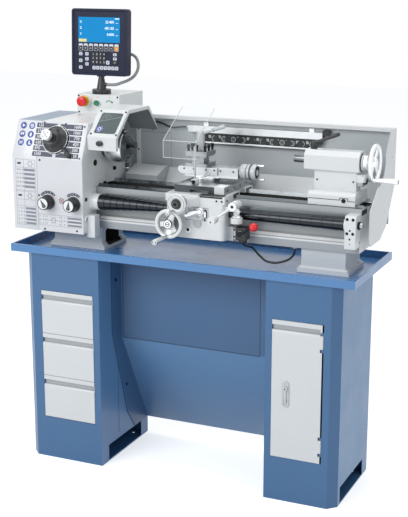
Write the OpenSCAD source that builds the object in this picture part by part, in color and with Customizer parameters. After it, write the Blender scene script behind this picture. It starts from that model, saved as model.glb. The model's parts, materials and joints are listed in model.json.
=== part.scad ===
// Bench lathe on a two-cabinet stand, with a digital readout.
// Millimetres. +X runs along the bed toward the tailstock, +Y away from the
// operator, +Z up. The origin is on the floor below the middle of the machine,
// and the spindle axis lies in the plane Y = 0.

/* [Stand] */
// Height of the two cabinets
cabinet_h = 846; // [700:2:1020]
// Depth of the cabinets
cabinet_d = 400; // [340:5:420]
// Width of the left cabinet
cabinet_left_w = 328; // [280:2:400]
// Width of the right cabinet
cabinet_right_w = 280; // [250:2:340]
// Sheet thickness of the stand
sheet_t = 2.5; // [1.5:0.5:3]
// Height of the chip tray's rim
tray_rim = 30; // [20:1:60]
// Width of the drawers
drawer_w = 227; // [180:1:260]
// Height of one drawer front
drawer_h = 175; // [120:1:190]
// Number of drawers
drawer_count = 3; // [3:1:3]
// Width of the cabinet door
door_w = 194; // [160:1:210]
// Height of the cabinet door
door_h = 527; // [420:1:600]

/* [Bed] */
// Length of the bed casting
bed_len = 1262; // [1200:2:1560]
// Width of the bed over the ways
bed_w = 180; // [160:1:220]
// Height of the feet below the bed
foot_h = 91; // [70:1:120]
// Height of the bed casting, from the feet to the flat ways
bed_h = 160; // [140:1:200]
// Height of the V on each way
vee_h = 9; // [6:0.5:12]

/* [Headstock] */
// Height of the spindle axis above the flat ways
centre_h = 150; // [140:1:190]
// Length of the headstock along the bed
head_len = 200; // [180:1:260]
// Bore through the spindle
spindle_bore = 26; // [20:1:38]
// Diameter of the spindle in its bearings
spindle_d = 60; // [50:1:70]
// Diameter of the chuck
chuck_d = 130; // [100:1:160]
// Length of the chuck body
chuck_len = 60; // [50:1:80]
// Width of each jaw
jaw_w = 16; // [12:1:20]

/* [Carriage] */
// Length of the saddle and apron along the bed
saddle_len = 238; // [200:1:260]
// Distance from the headstock to the saddle as drawn
saddle_gap = 338; // [200:1:420]
// Width of the cross slide
cross_w = 203; // [160:1:210]
// Length of the cross slide
cross_len = 316; // [260:1:320]
// Side of the square tool post
post_w = 86; // [70:1:95]
// Height of the tool slots in the tool post
tool_slot = 27; // [16:1:30]
// Diameter of the leadscrew
leadscrew_d = 22; // [18:1:24]
// Radius of the apron handwheel
apron_wheel_r = 56; // [45:1:62]

/* [Tailstock] */
// Length of the tailstock head
tail_len = 206; // [170:1:240]
// Diameter of the quill
quill_d = 30; // [26:1:40]
// Diameter of the quill's bore
quill_bore = 15; // [10:1:18]
// How far the quill stands out as drawn
quill_out = 49; // [20:1:60]
// Radius of the tailstock handwheel
tail_wheel_r = 71; // [55:1:80]

/* [Guards and readout] */
// Height of the splash guard above the flat ways
guard_h = 252; // [220:1:320]
// Width of the readout console
readout_w = 250; // [200:1:300]
// Height of the readout console
readout_h = 262; // [180:1:300]

/* [Hidden] */
run_fit = 0.05; // radial clearance of a running fit
slide_fit = 0.1; // clearance of a sliding fit
smooth = 48; // facets asked of a full circle

// ---- places along X
bed_x0 = -630;
bed_x1 = bed_x0 + bed_len;
head_x0 = bed_x0 - 4;
head_x1 = head_x0 + head_len;
cover_w = 110; // width of the end cover
cover_x0 = head_x0 - cover_w;
tray_x0 = bed_x0 - 107;
tray_x1 = bed_x1 + 31;
left_x0 = bed_x0 - 54;
left_x1 = left_x0 + cabinet_left_w;
right_x1 = bed_x1 - 23;
right_x0 = right_x1 - cabinet_right_w;

// ---- places along Y
stand_y0 = -228;
stand_y1 = stand_y0 + cabinet_d;
tray_y0 = -240;
tray_y1 = 232;
bed_y = bed_w / 2;
panel_y = -195; // outer face of the headstock's front panel
panel_t = 3;
lead_y = -bed_y - 30; // leadscrew axis

// ---- heights
tray_z = cabinet_h;
floor_z = tray_z + sheet_t; // upper face of the tray's floor
rim_z = tray_z + tray_rim;
foot_z = floor_z + foot_h; // underside of the bed
way_z = foot_z + bed_h; // flat ways
axis_z = way_z + centre_h; // spindle axis
lead_z = way_z - 53; // leadscrew axis
head_z = axis_z + 100; // top of the headstock
kink_z = axis_z - 35; // where the front panel starts to lean back
panel_z0 = foot_z - 11; // lower edge of the front panel
lean_run = 56; // how far the panel leans back at its top
lean = atan(lean_run / (head_z - kink_z));

// ---- the stand's cabinets
chamfer = 32;
fork_y0 = stand_y0 + 57;
fork_len = 282;
fork_z0 = 5;
fork_h = 63;
shelf_z = fork_z0 + fork_h + 5;
front_z0 = 173; // lower edge of the drawers and the door
drawer_x0 = left_x0 + 73;
door_x0 = right_x0 + 27;
front_gap = 1.5; // gap round drawers and door
jamb_depth = 15.7; // fold back round the openings
front_t = 16; // thickness of a drawer front or the door
anchor_d = 12;
anchor_in = 45;

// ---- chuck and spindle
nose_len = 18; // spindle flange
plate_len = 15; // chuck back plate
nose_x = head_x1 + 2;
plate_x = nose_x + nose_len;
chuck_x0 = plate_x + plate_len;
chuck_x1 = chuck_x0 + chuck_len;
jaw_depth = 24; // how deep a jaw sits in the chuck
jaw_steps = 3;
jaw_turn = 30; // angle of the first jaw

// ---- carriage
saddle_x0 = head_x1 + saddle_gap;
saddle_x1 = saddle_x0 + saddle_len;
saddle_top = way_z + 16;
apron_y0 = -170;
apron_y1 = -bed_y - 12;
apron_z0 = way_z - 147;
apron_z1 = saddle_top - 28;
cross_x0 = saddle_x0 + 17;
cross_x1 = cross_x0 + cross_w;
cross_y0 = -130;
cross_y1 = cross_y0 + cross_len;
cross_z0 = saddle_top + 1;
cross_top = saddle_top + 27;
dove_w = 80; // dovetail width at its widest
dove_h = 11;
comp_dove_w = 44;
comp_dove_h = 9;
screw_x = saddle_x0 + 82; // cross screw axis
screw_z = saddle_top - 21;
swivel_x = saddle_x0 + 90; // compound's swivel axis
swivel_r = 52;
swivel_h = 14;
comp_y = 40; // half width of the compound slides
comp_z0 = cross_top + swivel_h;
comp_z1 = comp_z0 + 24;
comp_x0 = swivel_x - 78;
comp_x1 = swivel_x + 62;
top_x0 = swivel_x - 101;
top_x1 = comp_x1;
top_z1 = comp_z1 + 16;
comp_screw_z = comp_z0 + 28;
post_x = swivel_x - 24; // tool post axis
post_z = top_z1;
post_h = 13 + tool_slot + 18;

// ---- tailstock
tail_x1 = bed_x1 - 29;
tail_x0 = tail_x1 - tail_len;
tail_half = 40;
tail_base_z = way_z + 1;
tail_split = way_z + 24;
tail_foot_top = way_z + 49;
head_under = axis_z - 28;
head_over = axis_z + 40;

// ---- splash guard
guard_x0 = head_x1 + 27;
guard_x1 = bed_x1 + 34;
guard_y = 215; // inner face of the rear wall
guard_z1 = way_z + guard_h;

// ---- electrical box and readout
box_x0 = head_x0 + 10;
box_x1 = head_x1;
box_y0 = 110;
box_y1 = 315;
box_h = 80;
box_z1 = head_z + box_h;
readout_x = (box_x0 + box_x1) / 2 - 5;
readout_y = 150;
readout_z0 = box_z1 + 72;
readout_t = 34;

// ---- cords, as points chosen along their routes
readout_route = [[-438, 179, 1586], [-438, 191, 1586], [-434, 200, 1586], [-424, 206, 1584],
  [-411, 207, 1577], [-400, 204, 1566], [-393, 199, 1552], [-390, 193, 1535], [-393, 187, 1518],
  [-401, 181, 1503], [-414, 175, 1491], [-430, 168, 1482], [-448, 160, 1475], [-468, 153, 1468],
  [-488, 150, 1466], [-510, 150, 1466]];
readout_cable_d = 12;
switch_route = [[204, -140, 956], [204, -140, 949], [205, -134, 941], [207, -123, 934],
  [210, -109, 929], [214, -95, 924], [221, -84, 916], [235, -79, 899], [251, -76, 883],
  [268, -75, 871], [289, -75, 867], [310, -75, 868], [332, -75, 874], [354, -76, 883],
  [371, -78, 897], [381, -80, 911], [384, -83, 923], [384, -83, 933]];
switch_cable_d = 8;
lamp_route = [[-179, 199, 1309], [-190, 199, 1309], [-203, 199, 1308], [-218, 200, 1305],
  [-236, 201, 1303], [-254, 202, 1304], [-272, 203, 1310], [-292, 204, 1317], [-314, 205, 1321],
  [-338, 207, 1323], [-362, 211, 1323], [-388, 211, 1323]];
lamp_cable_d = 7;

// ================================================================ shapes
// A block between two corners.
module block(x0, x1, y0, y1, z0, z1) {
  translate([x0, y0, z0])
    cube([x1 - x0, y1 - y0, z1 - z0]);
}

// A cylinder along X, from x0 to x1.
module rod_x(r, x0, x1, y, z, r2 = 0) {
  translate([x0, y, z])
    rotate([0, 90, 0])
      cylinder(h = x1 - x0, r1 = r, r2 = r2 > 0 ? r2 : r, $fn = smooth);
}

// A cylinder along Y, from y0 to y1.
module rod_y(r, y0, y1, x, z, r2 = 0) {
  translate([x, y0, z])
    rotate([-90, 0, 0])
      cylinder(h = y1 - y0, r1 = r, r2 = r2 > 0 ? r2 : r, $fn = smooth);
}

// A cylinder along Z, from z0 to z1.
module rod_z(r, z0, z1, x, y, r2 = 0) {
  translate([x, y, z0])
    cylinder(h = z1 - z0, r1 = r, r2 = r2 > 0 ? r2 : r, $fn = smooth);
}

// A (y, z) outline drawn out along X.
module along_x(x0, x1) {
  translate([x0, 0, 0])
    rotate([90, 0, 90])
      linear_extrude(x1 - x0)
        children();
}

// An (x, z) outline drawn out along Y.
module along_y(y0, y1) {
  translate([0, y1, 0])
    rotate([90, 0, 0])
      linear_extrude(y1 - y0)
        children();
}

// An (x, y) outline drawn out along Z.
module along_z(z0, z1) {
  translate([0, 0, z0])
    linear_extrude(z1 - z0)
      children();
}

// A rectangle with round corners, between two corners.
module soft_rect(x0, x1, y0, y1, r) {
  translate([x0 + r, y0])
    square([x1 - x0 - 2 * r, y1 - y0]);
  translate([x0, y0 + r])
    square([x1 - x0, y1 - y0 - 2 * r]);
  for (x = [x0 + r, x1 - r], y = [y0 + r, y1 - r])
    translate([x, y])
      circle(r, $fn = smooth);
}

// Places children on the leaning part of the front panel, with -Y outward:
// x along the machine, s up the slope from the kink.
module on_slope(x, s) {
  translate([x, panel_y, kink_z])
    rotate([-lean, 0, 0])
      translate([0, 0, s])
        children();
}

// A slotted or socket-head screw head facing -Y, its seat at y.
module screw_head_y(r, h, x, y, z) {
  difference() {
    rod_y(r, y - h, y, x, z);
    rod_y(r * 0.5, y - h - 1, y - h * 0.4, x, z);
  }
}

// Sweeps a round cord along a list of points, as one closed tube.
function unit(v) = v / norm(v);
function along(p, i) = unit(p[min(i + 1, len(p) - 1)] - p[max(i - 1, 0)]);
function side_of(t) = unit(cross(t, abs(t[2]) > 0.9 ? [0, 1, 0] : [0, 0, 1]));
function carry(s, t) = unit(s - (s * t) * t);
function frames(p, i = 0, s = undef) =
  let (t = along(p, i), n = is_undef(s) ? side_of(t) : carry(s, t))
  i == len(p) - 1 ? [[t, n]] : concat([[t, n]], frames(p, i + 1, n));
function ring(c, f, r, n) =
  [for (k = [0 : n - 1]) let (a = 360 * k / n) c + r * (cos(a) * f[1] + sin(a) * cross(f[0], f[1]))];

module tube_along(points, d, sides = 8) {
  f = frames(points);
  last = len(points) - 1;
  rings = [for (i = [0 : last]) each ring(points[i], f[i], d / 2, sides)];
  walls = [for (i = [0 : last - 1], k = [0 : sides - 1])
    let (a = i * sides + k, b = i * sides + (k + 1) % sides) [a, a + sides, b + sides, b]];
  first_cap = [for (k = [0 : sides - 1]) k];
  last_cap = [for (k = [sides - 1 : -1 : 0]) last * sides + k];
  polyhedron(rings, concat(walls, [first_cap, last_cap]), convexity = 6);
}

// ================================================================ stand
// Plan of a cabinet: a rectangle whose outer front corner is cut at 45 degrees.
module cabinet_plan(x0, x1, cut_left, wall) {
  a = x0 + wall;
  b = x1 - wall;
  c = stand_y0 + wall;
  d = stand_y1 - wall;
  k = chamfer - wall * 0.59;
  polygon(cut_left
    ? [[a + k, c], [b, c], [b, d], [a, d], [a, c + k]]
    : [[a, c], [b - k, c], [b, c + k], [b, d], [a, d]]);
}

module cabinet(x0, x1, cut_left, open_x0, open_w, open_h) {
  difference() {
    along_z(0, cabinet_h)
      cabinet_plan(x0, x1, cut_left, 0);
    along_z(shelf_z + sheet_t, cabinet_h - sheet_t)
      cabinet_plan(x0, x1, cut_left, sheet_t);
    along_z(sheet_t, shelf_z)
      cabinet_plan(x0, x1, cut_left, sheet_t);
    block(open_x0 - front_gap, open_x0 + open_w + front_gap, stand_y0 - 1, stand_y0 + chamfer / 2,
      front_z0 - front_gap, front_z0 + open_h + front_gap);
    block(x0 - 1, x1 + 1, fork_y0, fork_y0 + fork_len, fork_z0, fork_z0 + fork_h);
    for (x = [x0 + anchor_in, x1 - anchor_in], y = [stand_y0 + anchor_in, stand_y1 - anchor_in])
      rod_z(anchor_d / 2, -1, sheet_t + 1, x, y);
    for (p = foot_bolt_places())
      rod_z(6.5, cabinet_h - sheet_t - 1, cabinet_h + 1, p[0], p[1]);
  }
  jamb(open_x0 - front_gap, open_x0 + open_w + front_gap, front_z0 - front_gap, front_z0 + open_h + front_gap);
}

// The sheet's fold back round an opening in a cabinet's front.
module jamb(x0, x1, z0, z1) {
  t = sheet_t;
  difference() {
    block(x0 - t, x1 + t, stand_y0 + t - 1, stand_y0 + jamb_depth, z0 - t, z1 + t);
    block(x0, x1, stand_y0 - 1, stand_y0 + jamb_depth + 1, z0, z1);
  }
}

// Angle-iron runners that carry the drawers by their lower edges.
drawer_rise = 8; // underside of a drawer's box above its front's lower edge
module runners() {
  for (i = [0 : drawer_count - 1], s = [0, 1]) {
    z = front_z0 + i * drawer_h + front_gap / 2 + drawer_rise - slide_fit;
    edge = s == 0 ? drawer_x0 - 12 : drawer_x0 + drawer_w + 10;
    lip = s == 0 ? edge : drawer_x0 + drawer_w - 6;
    block(edge, edge + 2, stand_y0 + sheet_t - 1, stand_y1 - sheet_t + 1, z - 3, z + 30);
    block(lip, lip + 18, stand_y0 + front_t, stand_y1 - sheet_t + 1, z - 3, z);
  }
}

module cabinet_left() {
  color("#4f74a0") {
    cabinet(left_x0, left_x1, true, drawer_x0, drawer_w, drawer_count * drawer_h);
    runners();
  }
}

// Two hinge places on the door's right edge, as the lower ends of its knuckles.
hinge_r = 4;
pin_r = 2;
knuckle = 50;
ear = 12;
hinge_x = door_x0 + door_w - 4;
hinge_y = stand_y0 + 2;
function hinge_places() = [front_z0 + 40, front_z0 + door_h - 90];

module cabinet_right() {
  color("#4f74a0") {
    cabinet(right_x0, right_x1, false, door_x0, door_w, door_h);
    for (z = hinge_places()) {
      rod_z(pin_r, z - ear, z + knuckle + ear, hinge_x, hinge_y);
      for (z1 = [z - ear - 0.3, z + knuckle + 0.3]) {
        rod_z(hinge_r, z1, z1 + ear, hinge_x, hinge_y);
        block(hinge_x, door_x0 + door_w + front_gap + 1, stand_y0, stand_y0 + sheet_t, z1, z1 + ear);
      }
    }
  }
}

// The panel between the cabinets: upright above, sloping back below, with
// flanges that bolt to the cabinets' inner sides.
panel_up_y = -50;
panel_fold_z = 488;
panel_low_z = 70;
flange_y = -127;
module rear_panel_line() {
  polygon([
    [panel_up_y, tray_z - 1], [panel_up_y, panel_fold_z], [stand_y1 - 4, panel_low_z],
    [stand_y1, panel_low_z], [stand_y1, panel_low_z + 6], [panel_up_y + 3, panel_fold_z + 2],
    [panel_up_y + 3, tray_z - 1]]);
}
module flange_plan() {
  polygon([[flange_y, tray_z - 1], [flange_y, panel_fold_z + 33], [-12, 155], [52, panel_low_z],
    [stand_y1 - 4, panel_low_z], [panel_up_y, panel_fold_z], [panel_up_y, tray_z - 1]]);
}
module rear_panel() {
  color("#557aa4") {
    difference() {
      union() {
        along_x(left_x1 + 0.2, right_x0 - 0.2)
          rear_panel_line();
        along_x(left_x1 + 0.2, left_x1 + 0.2 + sheet_t)
          flange_plan();
        along_x(right_x0 - 0.2 - sheet_t, right_x0 - 0.2)
          flange_plan();
      }
      for (p = [[-95, 734], [-18, 276]], s = [-1, 1])
        rod_x(4, s < 0 ? left_x1 : right_x0 - 6, s < 0 ? left_x1 + 6 : right_x0, p[0], p[1]);
    }
  }
}

// Folded sheet pan with a hemmed rim; holes for the machine's foot bolts.
hem = 9;
module chip_tray() {
  color("#5078a6")
    difference() {
      block(tray_x0, tray_x1, tray_y0, tray_y1, tray_z, rim_z);
      block(tray_x0 + sheet_t, tray_x1 - sheet_t, tray_y0 + sheet_t, tray_y1 - sheet_t, floor_z, rim_z - sheet_t);
      block(tray_x0 + hem, tray_x1 - hem, tray_y0 + hem, tray_y1 - hem, rim_z - sheet_t - 1, rim_z + 1);
      for (p = foot_bolt_places())
        rod_z(6.5, tray_z - 1, floor_z + 1, p[0], p[1]);
    }
}

// Section of a drawer front or door: a grip channel below the top edge.
module front_section(z0, z1) {
  y0 = stand_y0 - 2;
  polygon([
    [y0, z0 + 1], [y0 + 1, z0], [y0 + front_t, z0], [y0 + front_t, z1], [y0 + 1, z1], [y0, z1 - 1],
    [y0, z1 - 17], [y0 + 9, z1 - 18], [y0 + 12, z1 - 34], [y0 + 3, z1 - 37], [y0, z1 - 41],
    [y0 - 1, z1 - 47], [y0, z1 - 54]]);
}

module drawer(i) {
  z0 = front_z0 + i * drawer_h + front_gap / 2;
  z1 = front_z0 + (i + 1) * drawer_h - front_gap / 2;
  x1 = drawer_x0 + drawer_w;
  yb = stand_y1 - 40;
  color("#e4e7e8") {
    along_x(drawer_x0, x1)
      front_section(z0, z1);
    difference() {
      block(drawer_x0 + 2, x1 - 2, stand_y0 + front_t - 3, yb, z0 + drawer_rise, z1 - 22);
      block(drawer_x0 + 4, x1 - 4, stand_y0 + front_t - 2, yb - 2, z0 + drawer_rise + 2, z1);
    }
  }
}
module drawer_top() { drawer(2); }
module drawer_middle() { drawer(1); }
module drawer_bottom() { drawer(0); }

// Door with hinge knuckles on its right edge, hollow at the back.
latch_x = door_x0 + 56;
latch_z = front_z0 + 250;
module cabinet_door() {
  z1 = front_z0 + door_h;
  color("#e4e7e8")
    difference() {
      union() {
        along_x(door_x0, hinge_x - 6)
          front_section(front_z0, z1);
        block(hinge_x - 7, hinge_x, stand_y0 - 2, stand_y0 + 1, front_z0, z1);
        for (z = hinge_places())
          rod_z(hinge_r, z, z + knuckle, hinge_x, hinge_y);
      }
      block(door_x0 + 2, hinge_x - 8, stand_y0 + 1, stand_y0 + front_t, front_z0 + 2, z1 - 60);
      rod_y(8, stand_y0 - 5, stand_y0 + front_t, latch_x, latch_z);
      for (z = hinge_places()) {
        rod_z(pin_r + run_fit, z - 1, z + knuckle + 1, hinge_x, hinge_y);
        for (z2 = [z - ear - 0.8, z + knuckle])
          rod_z(8.6, z2, z2 + ear + 0.8, hinge_x, hinge_y);
      }
    }
}

// Swing latch: an oval plate with a pull, and a cam that turns behind the jamb.
module door_latch() {
  color("#d6dadd") {
    rod_y(8 - run_fit, stand_y0 - 3, stand_y0 + jamb_depth + 1, latch_x, latch_z);
    along_y(stand_y0 - 6, stand_y0 - 2.2)
      difference() {
        soft_rect(latch_x - 13, latch_x + 13, latch_z - 50, latch_z + 50, 12.9);
        soft_rect(latch_x - 7, latch_x + 7, latch_z - 44, latch_z - 14, 6.9);
      }
    block(latch_x - 8, latch_x + 8, stand_y0 + jamb_depth + 0.3, stand_y0 + jamb_depth + 3.3,
      latch_z - 9, latch_z + latch_x - door_x0 + 8);
  }
}

// ================================================================ bed
// Half section of the bed: way, web and bottom flange, as (y, z).
module bed_rail() {
  z = way_z;
  polygon([
    [bed_y - 56, z], [bed_y - 35, z], [bed_y - 35 + vee_h, z + vee_h], [bed_y - 35 + 2 * vee_h, z],
    [bed_y, z], [bed_y, z - 28], [bed_y - 18, z - 40], [bed_y - 18, foot_z + 48],
    [bed_y - 10, foot_z + 41], [bed_y + 10, foot_z + 36], [bed_y + 10, foot_z],
    [bed_y - 56, foot_z], [bed_y - 56, foot_z + 20], [bed_y - 34, foot_z + 32],
    [bed_y - 34, z - 40], [bed_y - 56, z - 28]]);
}

foot_len = 168;
left_foot_x = bed_x0 + 2;
left_foot_len = 212;
right_foot_x = bed_x1 - 221;
function foot_bolt_places() = [
  for (x = [left_foot_x + 20, left_foot_x + left_foot_len - 20,
            right_foot_x + 20, right_foot_x + foot_len - 20], y = [-38, 38]) [x, y]];

// A hollow cast foot with a flared flange and an arch through it along X.
module foot(x0, len) {
  difference() {
    union() {
      block(x0 - 14, x0 + len + 14, -bed_y - 2, bed_y + 2, floor_z, floor_z + 16);
      along_x(x0 - 7, x0 + len + 7)
        polygon([[-bed_y - 2, floor_z + 16], [bed_y + 2, floor_z + 16], [bed_y - 3, floor_z + 24],
          [-bed_y + 3, floor_z + 24]]);
      block(x0, x0 + len, -bed_y + 3, bed_y - 3, floor_z + 20, foot_z + 1);
    }
    along_x(x0 - 15, x0 + len + 15) {
      translate([-55, floor_z + 12])
        square([110, foot_h - 42]);
      translate([-40, foot_z - 31])
        square([80, 15]);
      for (s = [-40, 40])
        translate([s, foot_z - 31])
          circle(15, $fn = smooth);
    }
  }
}

module bed() {
  ribs = 5;
  pitch = (bed_len - 40) / (ribs - 1);
  color("#c9cdcf")
    difference() {
      union() {
        along_x(bed_x0, bed_x1) {
          bed_rail();
          mirror([1, 0])
            bed_rail();
        }
        for (i = [0 : ribs - 1])
          block(bed_x0 + i * pitch, bed_x0 + i * pitch + 14, -bed_y + 20, bed_y - 20, foot_z + 4, way_z - 46);
        foot(left_foot_x, left_foot_len);
        foot(right_foot_x, foot_len);
        block(bed_x1 - 12, bed_x1, -bed_y, bed_y, foot_z, way_z - 6);
        rod_z(8, 933.2, foot_z + 1, 384, -83);
      }
      for (p = foot_bolt_places())
        rod_z(6.5, floor_z - 1, floor_z + 40, p[0], p[1]);
    }
}

// Foot bolts and the end bracket's socket screws.
bracket_x0 = bed_x1 - 41.5;
bracket_w = 40.5;
bracket_y0 = lead_y - 28;
bracket_z0 = foot_z + 25;
bracket_z1 = way_z - 16.5;
ledge_z = foot_z + 43; // clear of the bed's lower flange
bracket_screws = [[8.5, -12, 5.5], [30, -12, 5.5], [8.5, -62.5, 5.5], [30, -62.5, 5.5],
  [19, -51.5, 3.5], [19, -82.5, 3.5]];
module machine_bolts() {
  color("#3a3d40") {
    for (p = foot_bolt_places()) {
      rod_z(6.4, tray_z - sheet_t - 12, floor_z + 13, p[0], p[1]);
      rod_z(10, floor_z + 12, floor_z + 20, p[0], p[1]);
      rod_z(11, tray_z - sheet_t - 10, tray_z - sheet_t, p[0], p[1]);
    }
    for (p = bracket_screws)
      screw_head_y(p[2] - 0.2, 4, bracket_x0 + p[0], bracket_y0 + 4, bracket_z1 + p[1]);
  }
}

// Bracket that carries the leadscrew's right end, with sunk screws.
module end_bracket() {
  color("#eceeee")
    difference() {
      union() {
        along_x(bracket_x0, bracket_x0 + bracket_w)
          polygon([[bracket_y0, bracket_z0], [bracket_y0, bracket_z1 - 8], [bracket_y0 + 8, bracket_z1],
            [-bed_y - 0.1, bracket_z1], [-bed_y - 0.1, ledge_z], [-bed_y - 10.2, ledge_z],
            [-bed_y - 10.2, bracket_z0]]);
        rod_x(24, bracket_x0 - 6, bracket_x0 + 1, lead_y, lead_z);
      }
      rod_x(leadscrew_d / 2 + run_fit, bracket_x0 - 10, bracket_x0 + bracket_w + 1, lead_y, lead_z);
      for (p = bracket_screws)
        rod_y(p[2], bracket_y0 - 1, bracket_y0 + 4, bracket_x0 + p[0], bracket_z1 + p[1]);
      rod_y(2, bracket_y0 - 1, bracket_y0 + 8, bracket_x0 + 19, bracket_z1 - 99.5);
    }
}

// ================================================================ headstock
head_y0 = panel_y + panel_t;
head_y1 = 150;
motor_y = 226;
motor_z = axis_z - 60;
motor_r = 70;
knob_left_x = head_x0 + 47;
knob_right_x = head_x1 - 40;
knob_z = axis_z - 205;
dial_x = head_x0 + 74;
dial_s = (axis_z + 33 - kink_z) / cos(lean);
shaft_r = 8;

// Grooves that clear the V of both ways.
module vee_grooves(x0, x1, gap) {
  a = bed_y - 35;
  for (s = [0, 1])
    mirror([0, s, 0])
      along_x(x0, x1)
        polygon([[a - gap, way_z - 1], [a - gap, way_z], [a + vee_h, way_z + vee_h + gap],
          [a + 2 * vee_h + gap, way_z], [a + 2 * vee_h + gap, way_z - 1]]);
}

module headstock() {
  color("#e9ebec")
    difference() {
      union() {
        along_x(head_x0, head_x1)
          polygon([[head_y0, way_z], [head_y0, kink_z], [head_y0 + lean_run, head_z],
            [head_y1, head_z], [head_y1, way_z]]);
        rod_x(spindle_d / 2 + 26, head_x1 - 1, head_x1 + 1.5, 0, axis_z);
        block(head_x1 - 46, head_x1 - 6, 64, 92, head_z - 1, head_z + 34);
        rod_x(6, head_x1 - 40, guard_sheet_x0 + 18, pivot_y, pivot_z);
      }
      vee_grooves(head_x0 - 1, head_x1 + 1, 0.3);
      rod_x(spindle_d / 2 + run_fit, head_x0 - 1, head_x1 + 2, 0, axis_z);
      on_slope(dial_x, dial_s)
        rod_y(14 + run_fit, -1, 40, 0, 0);
    }
}

// Feed gearbox in front of the bed, under the headstock.
side_box_z = foot_z - 26;
module gearbox() {
  color("#dfe2e3")
    difference() {
      union() {
        along_x(head_x0, head_x1)
          polygon([[head_y0, panel_z0 + 3], [head_y0, way_z - 0.1], [-bed_y - 0.5, way_z - 0.1],
            [-bed_y - 0.5, ledge_z], [-bed_y - 10.5, ledge_z], [-bed_y - 10.5, panel_z0 + 3]]);
        rod_x(34, head_x1 - 1, head_x1 + 12, lead_y, lead_z);
        rod_x(31, head_x1 + 11, head_x1 + 37, lead_y, lead_z);
        block(head_x1 - 1, head_x1 + 34, lead_y - 48, lead_y - 8, side_box_z, side_box_z + 87);
      }
      rod_x(leadscrew_d / 2 + run_fit, head_x1 - 61, head_x1 + 38, lead_y, lead_z);
      for (x = [knob_left_x, knob_right_x])
        rod_y(shaft_r + run_fit, head_y0 - 1, head_y0 + 31, x, knob_z);
    }
}

// Folded plate over the front of the headstock and gearbox.
module front_panel() {
  inner = head_y0 - run_fit;
  color("#eceef0")
    difference() {
      along_x(head_x0 + 0.3, head_x1)
        polygon([[panel_y, panel_z0], [panel_y, kink_z], [panel_y + lean_run, head_z],
          [inner + lean_run, head_z], [inner, kink_z], [inner, panel_z0]]);
      for (x = [knob_left_x, knob_right_x])
        rod_y(shaft_r + 0.5, panel_y - 1, head_y0 + 1, x, knob_z);
      on_slope(dial_x, dial_s)
        rod_y(15, -2, 8, 0, 0);
    }
}

// Outline of the end cover, drawn in by t. Bar stock passes through its side.
cover_back = motor_y + 32;
module cover_outline(t) {
  polygon([[panel_y + t, panel_z0 + t], [panel_y + t, kink_z - t * 0.2],
    [panel_y + lean_run + t * 0.8, head_z - t], [165 - t * 0.4, head_z - t],
    [cover_back - t, head_z - 60 - t * 0.4], [cover_back - t, motor_z - 50 + t],
    [150, panel_z0 + 70 + t], [60, panel_z0 + t]]);
}
module end_cover() {
  color("#9aa7b6")
    difference() {
      along_x(cover_x0, head_x0 - 0.3)
        cover_outline(0);
      along_x(cover_x0 + 3, head_x0 + 1)
        cover_outline(3);
      rod_x(spindle_bore / 2 + 4, cover_x0 - 1, cover_x0 + 4, 0, axis_z);
    }
}

module spindle() {
  color("#8d9296")
    difference() {
      union() {
        rod_x(spindle_d / 2 - 7, cover_x0 + 26, head_x0 + 1, 0, axis_z);
        rod_x(spindle_d / 2, head_x0, nose_x + 1, 0, axis_z);
        rod_x(50, nose_x, plate_x, 0, axis_z);
        rod_x(62, cover_x0 + 40, cover_x0 + 62, 0, axis_z);
      }
      rod_x(spindle_bore / 2, cover_x0 + 25, plate_x + 1, 0, axis_z);
    }
}

// Drive motor behind the headstock, with cooling ribs and a terminal box.
motor_x0 = head_x0 + 12;
motor_x1 = head_x1 - 8;
module motor() {
  ribs = 20;
  color("#5f666c") {
    rod_x(motor_r - 6, motor_x0 + 12, motor_x1 - 26, motor_y, motor_z);
    for (x = [motor_x0, motor_x1 - 40])
      rod_x(motor_r, x, x + 14, motor_y, motor_z);
    rod_x(motor_r - 2, motor_x1 - 27, motor_x1, motor_y, motor_z);
    for (i = [0 : ribs - 1])
      translate([0, motor_y, motor_z])
        rotate([360 / ribs * i, 0, 0])
          block(motor_x0 + 12, motor_x1 - 38, -1.2, 1.2, motor_r - 8, motor_r - 1);
    block(motor_x0 + 40, motor_x0 + 110, motor_y - 34, motor_y + 34, motor_z + motor_r - 8, motor_z + motor_r + 26);
    block(motor_x0 + 20, motor_x0 + 120, head_y1, motor_y - 40, motor_z - 64, motor_z - 52);
    block(motor_x0 + 20, motor_x0 + 120, head_y1, head_y1 + 8, motor_z - 80, motor_z + 30);
    rod_x(11, cover_x0 + 34, motor_x0 + 1, motor_y, motor_z);
    rod_x(28, cover_x0 + 38, cover_x0 + 64, motor_y, motor_z);
  }
}

// ---- chuck: a scroll chuck with three stepped jaws
module about_spindle(a) {
  translate([0, 0, axis_z])
    rotate([a, 0, 0])
      children();
}

jaw_foot = 4; // how far the jaw's guide ribs stand out
module jaw_slot(fit) {
  x0 = chuck_x1 - jaw_depth - fit;
  block(x0, chuck_x1 + 1, -jaw_w / 2 - fit, jaw_w / 2 + fit, 0, chuck_d);
  block(x0 + 7 - fit, x0 + 14 + 3 * fit, -jaw_w / 2 - jaw_foot - fit, jaw_w / 2 + jaw_foot + fit, 0, chuck_d);
}

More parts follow.
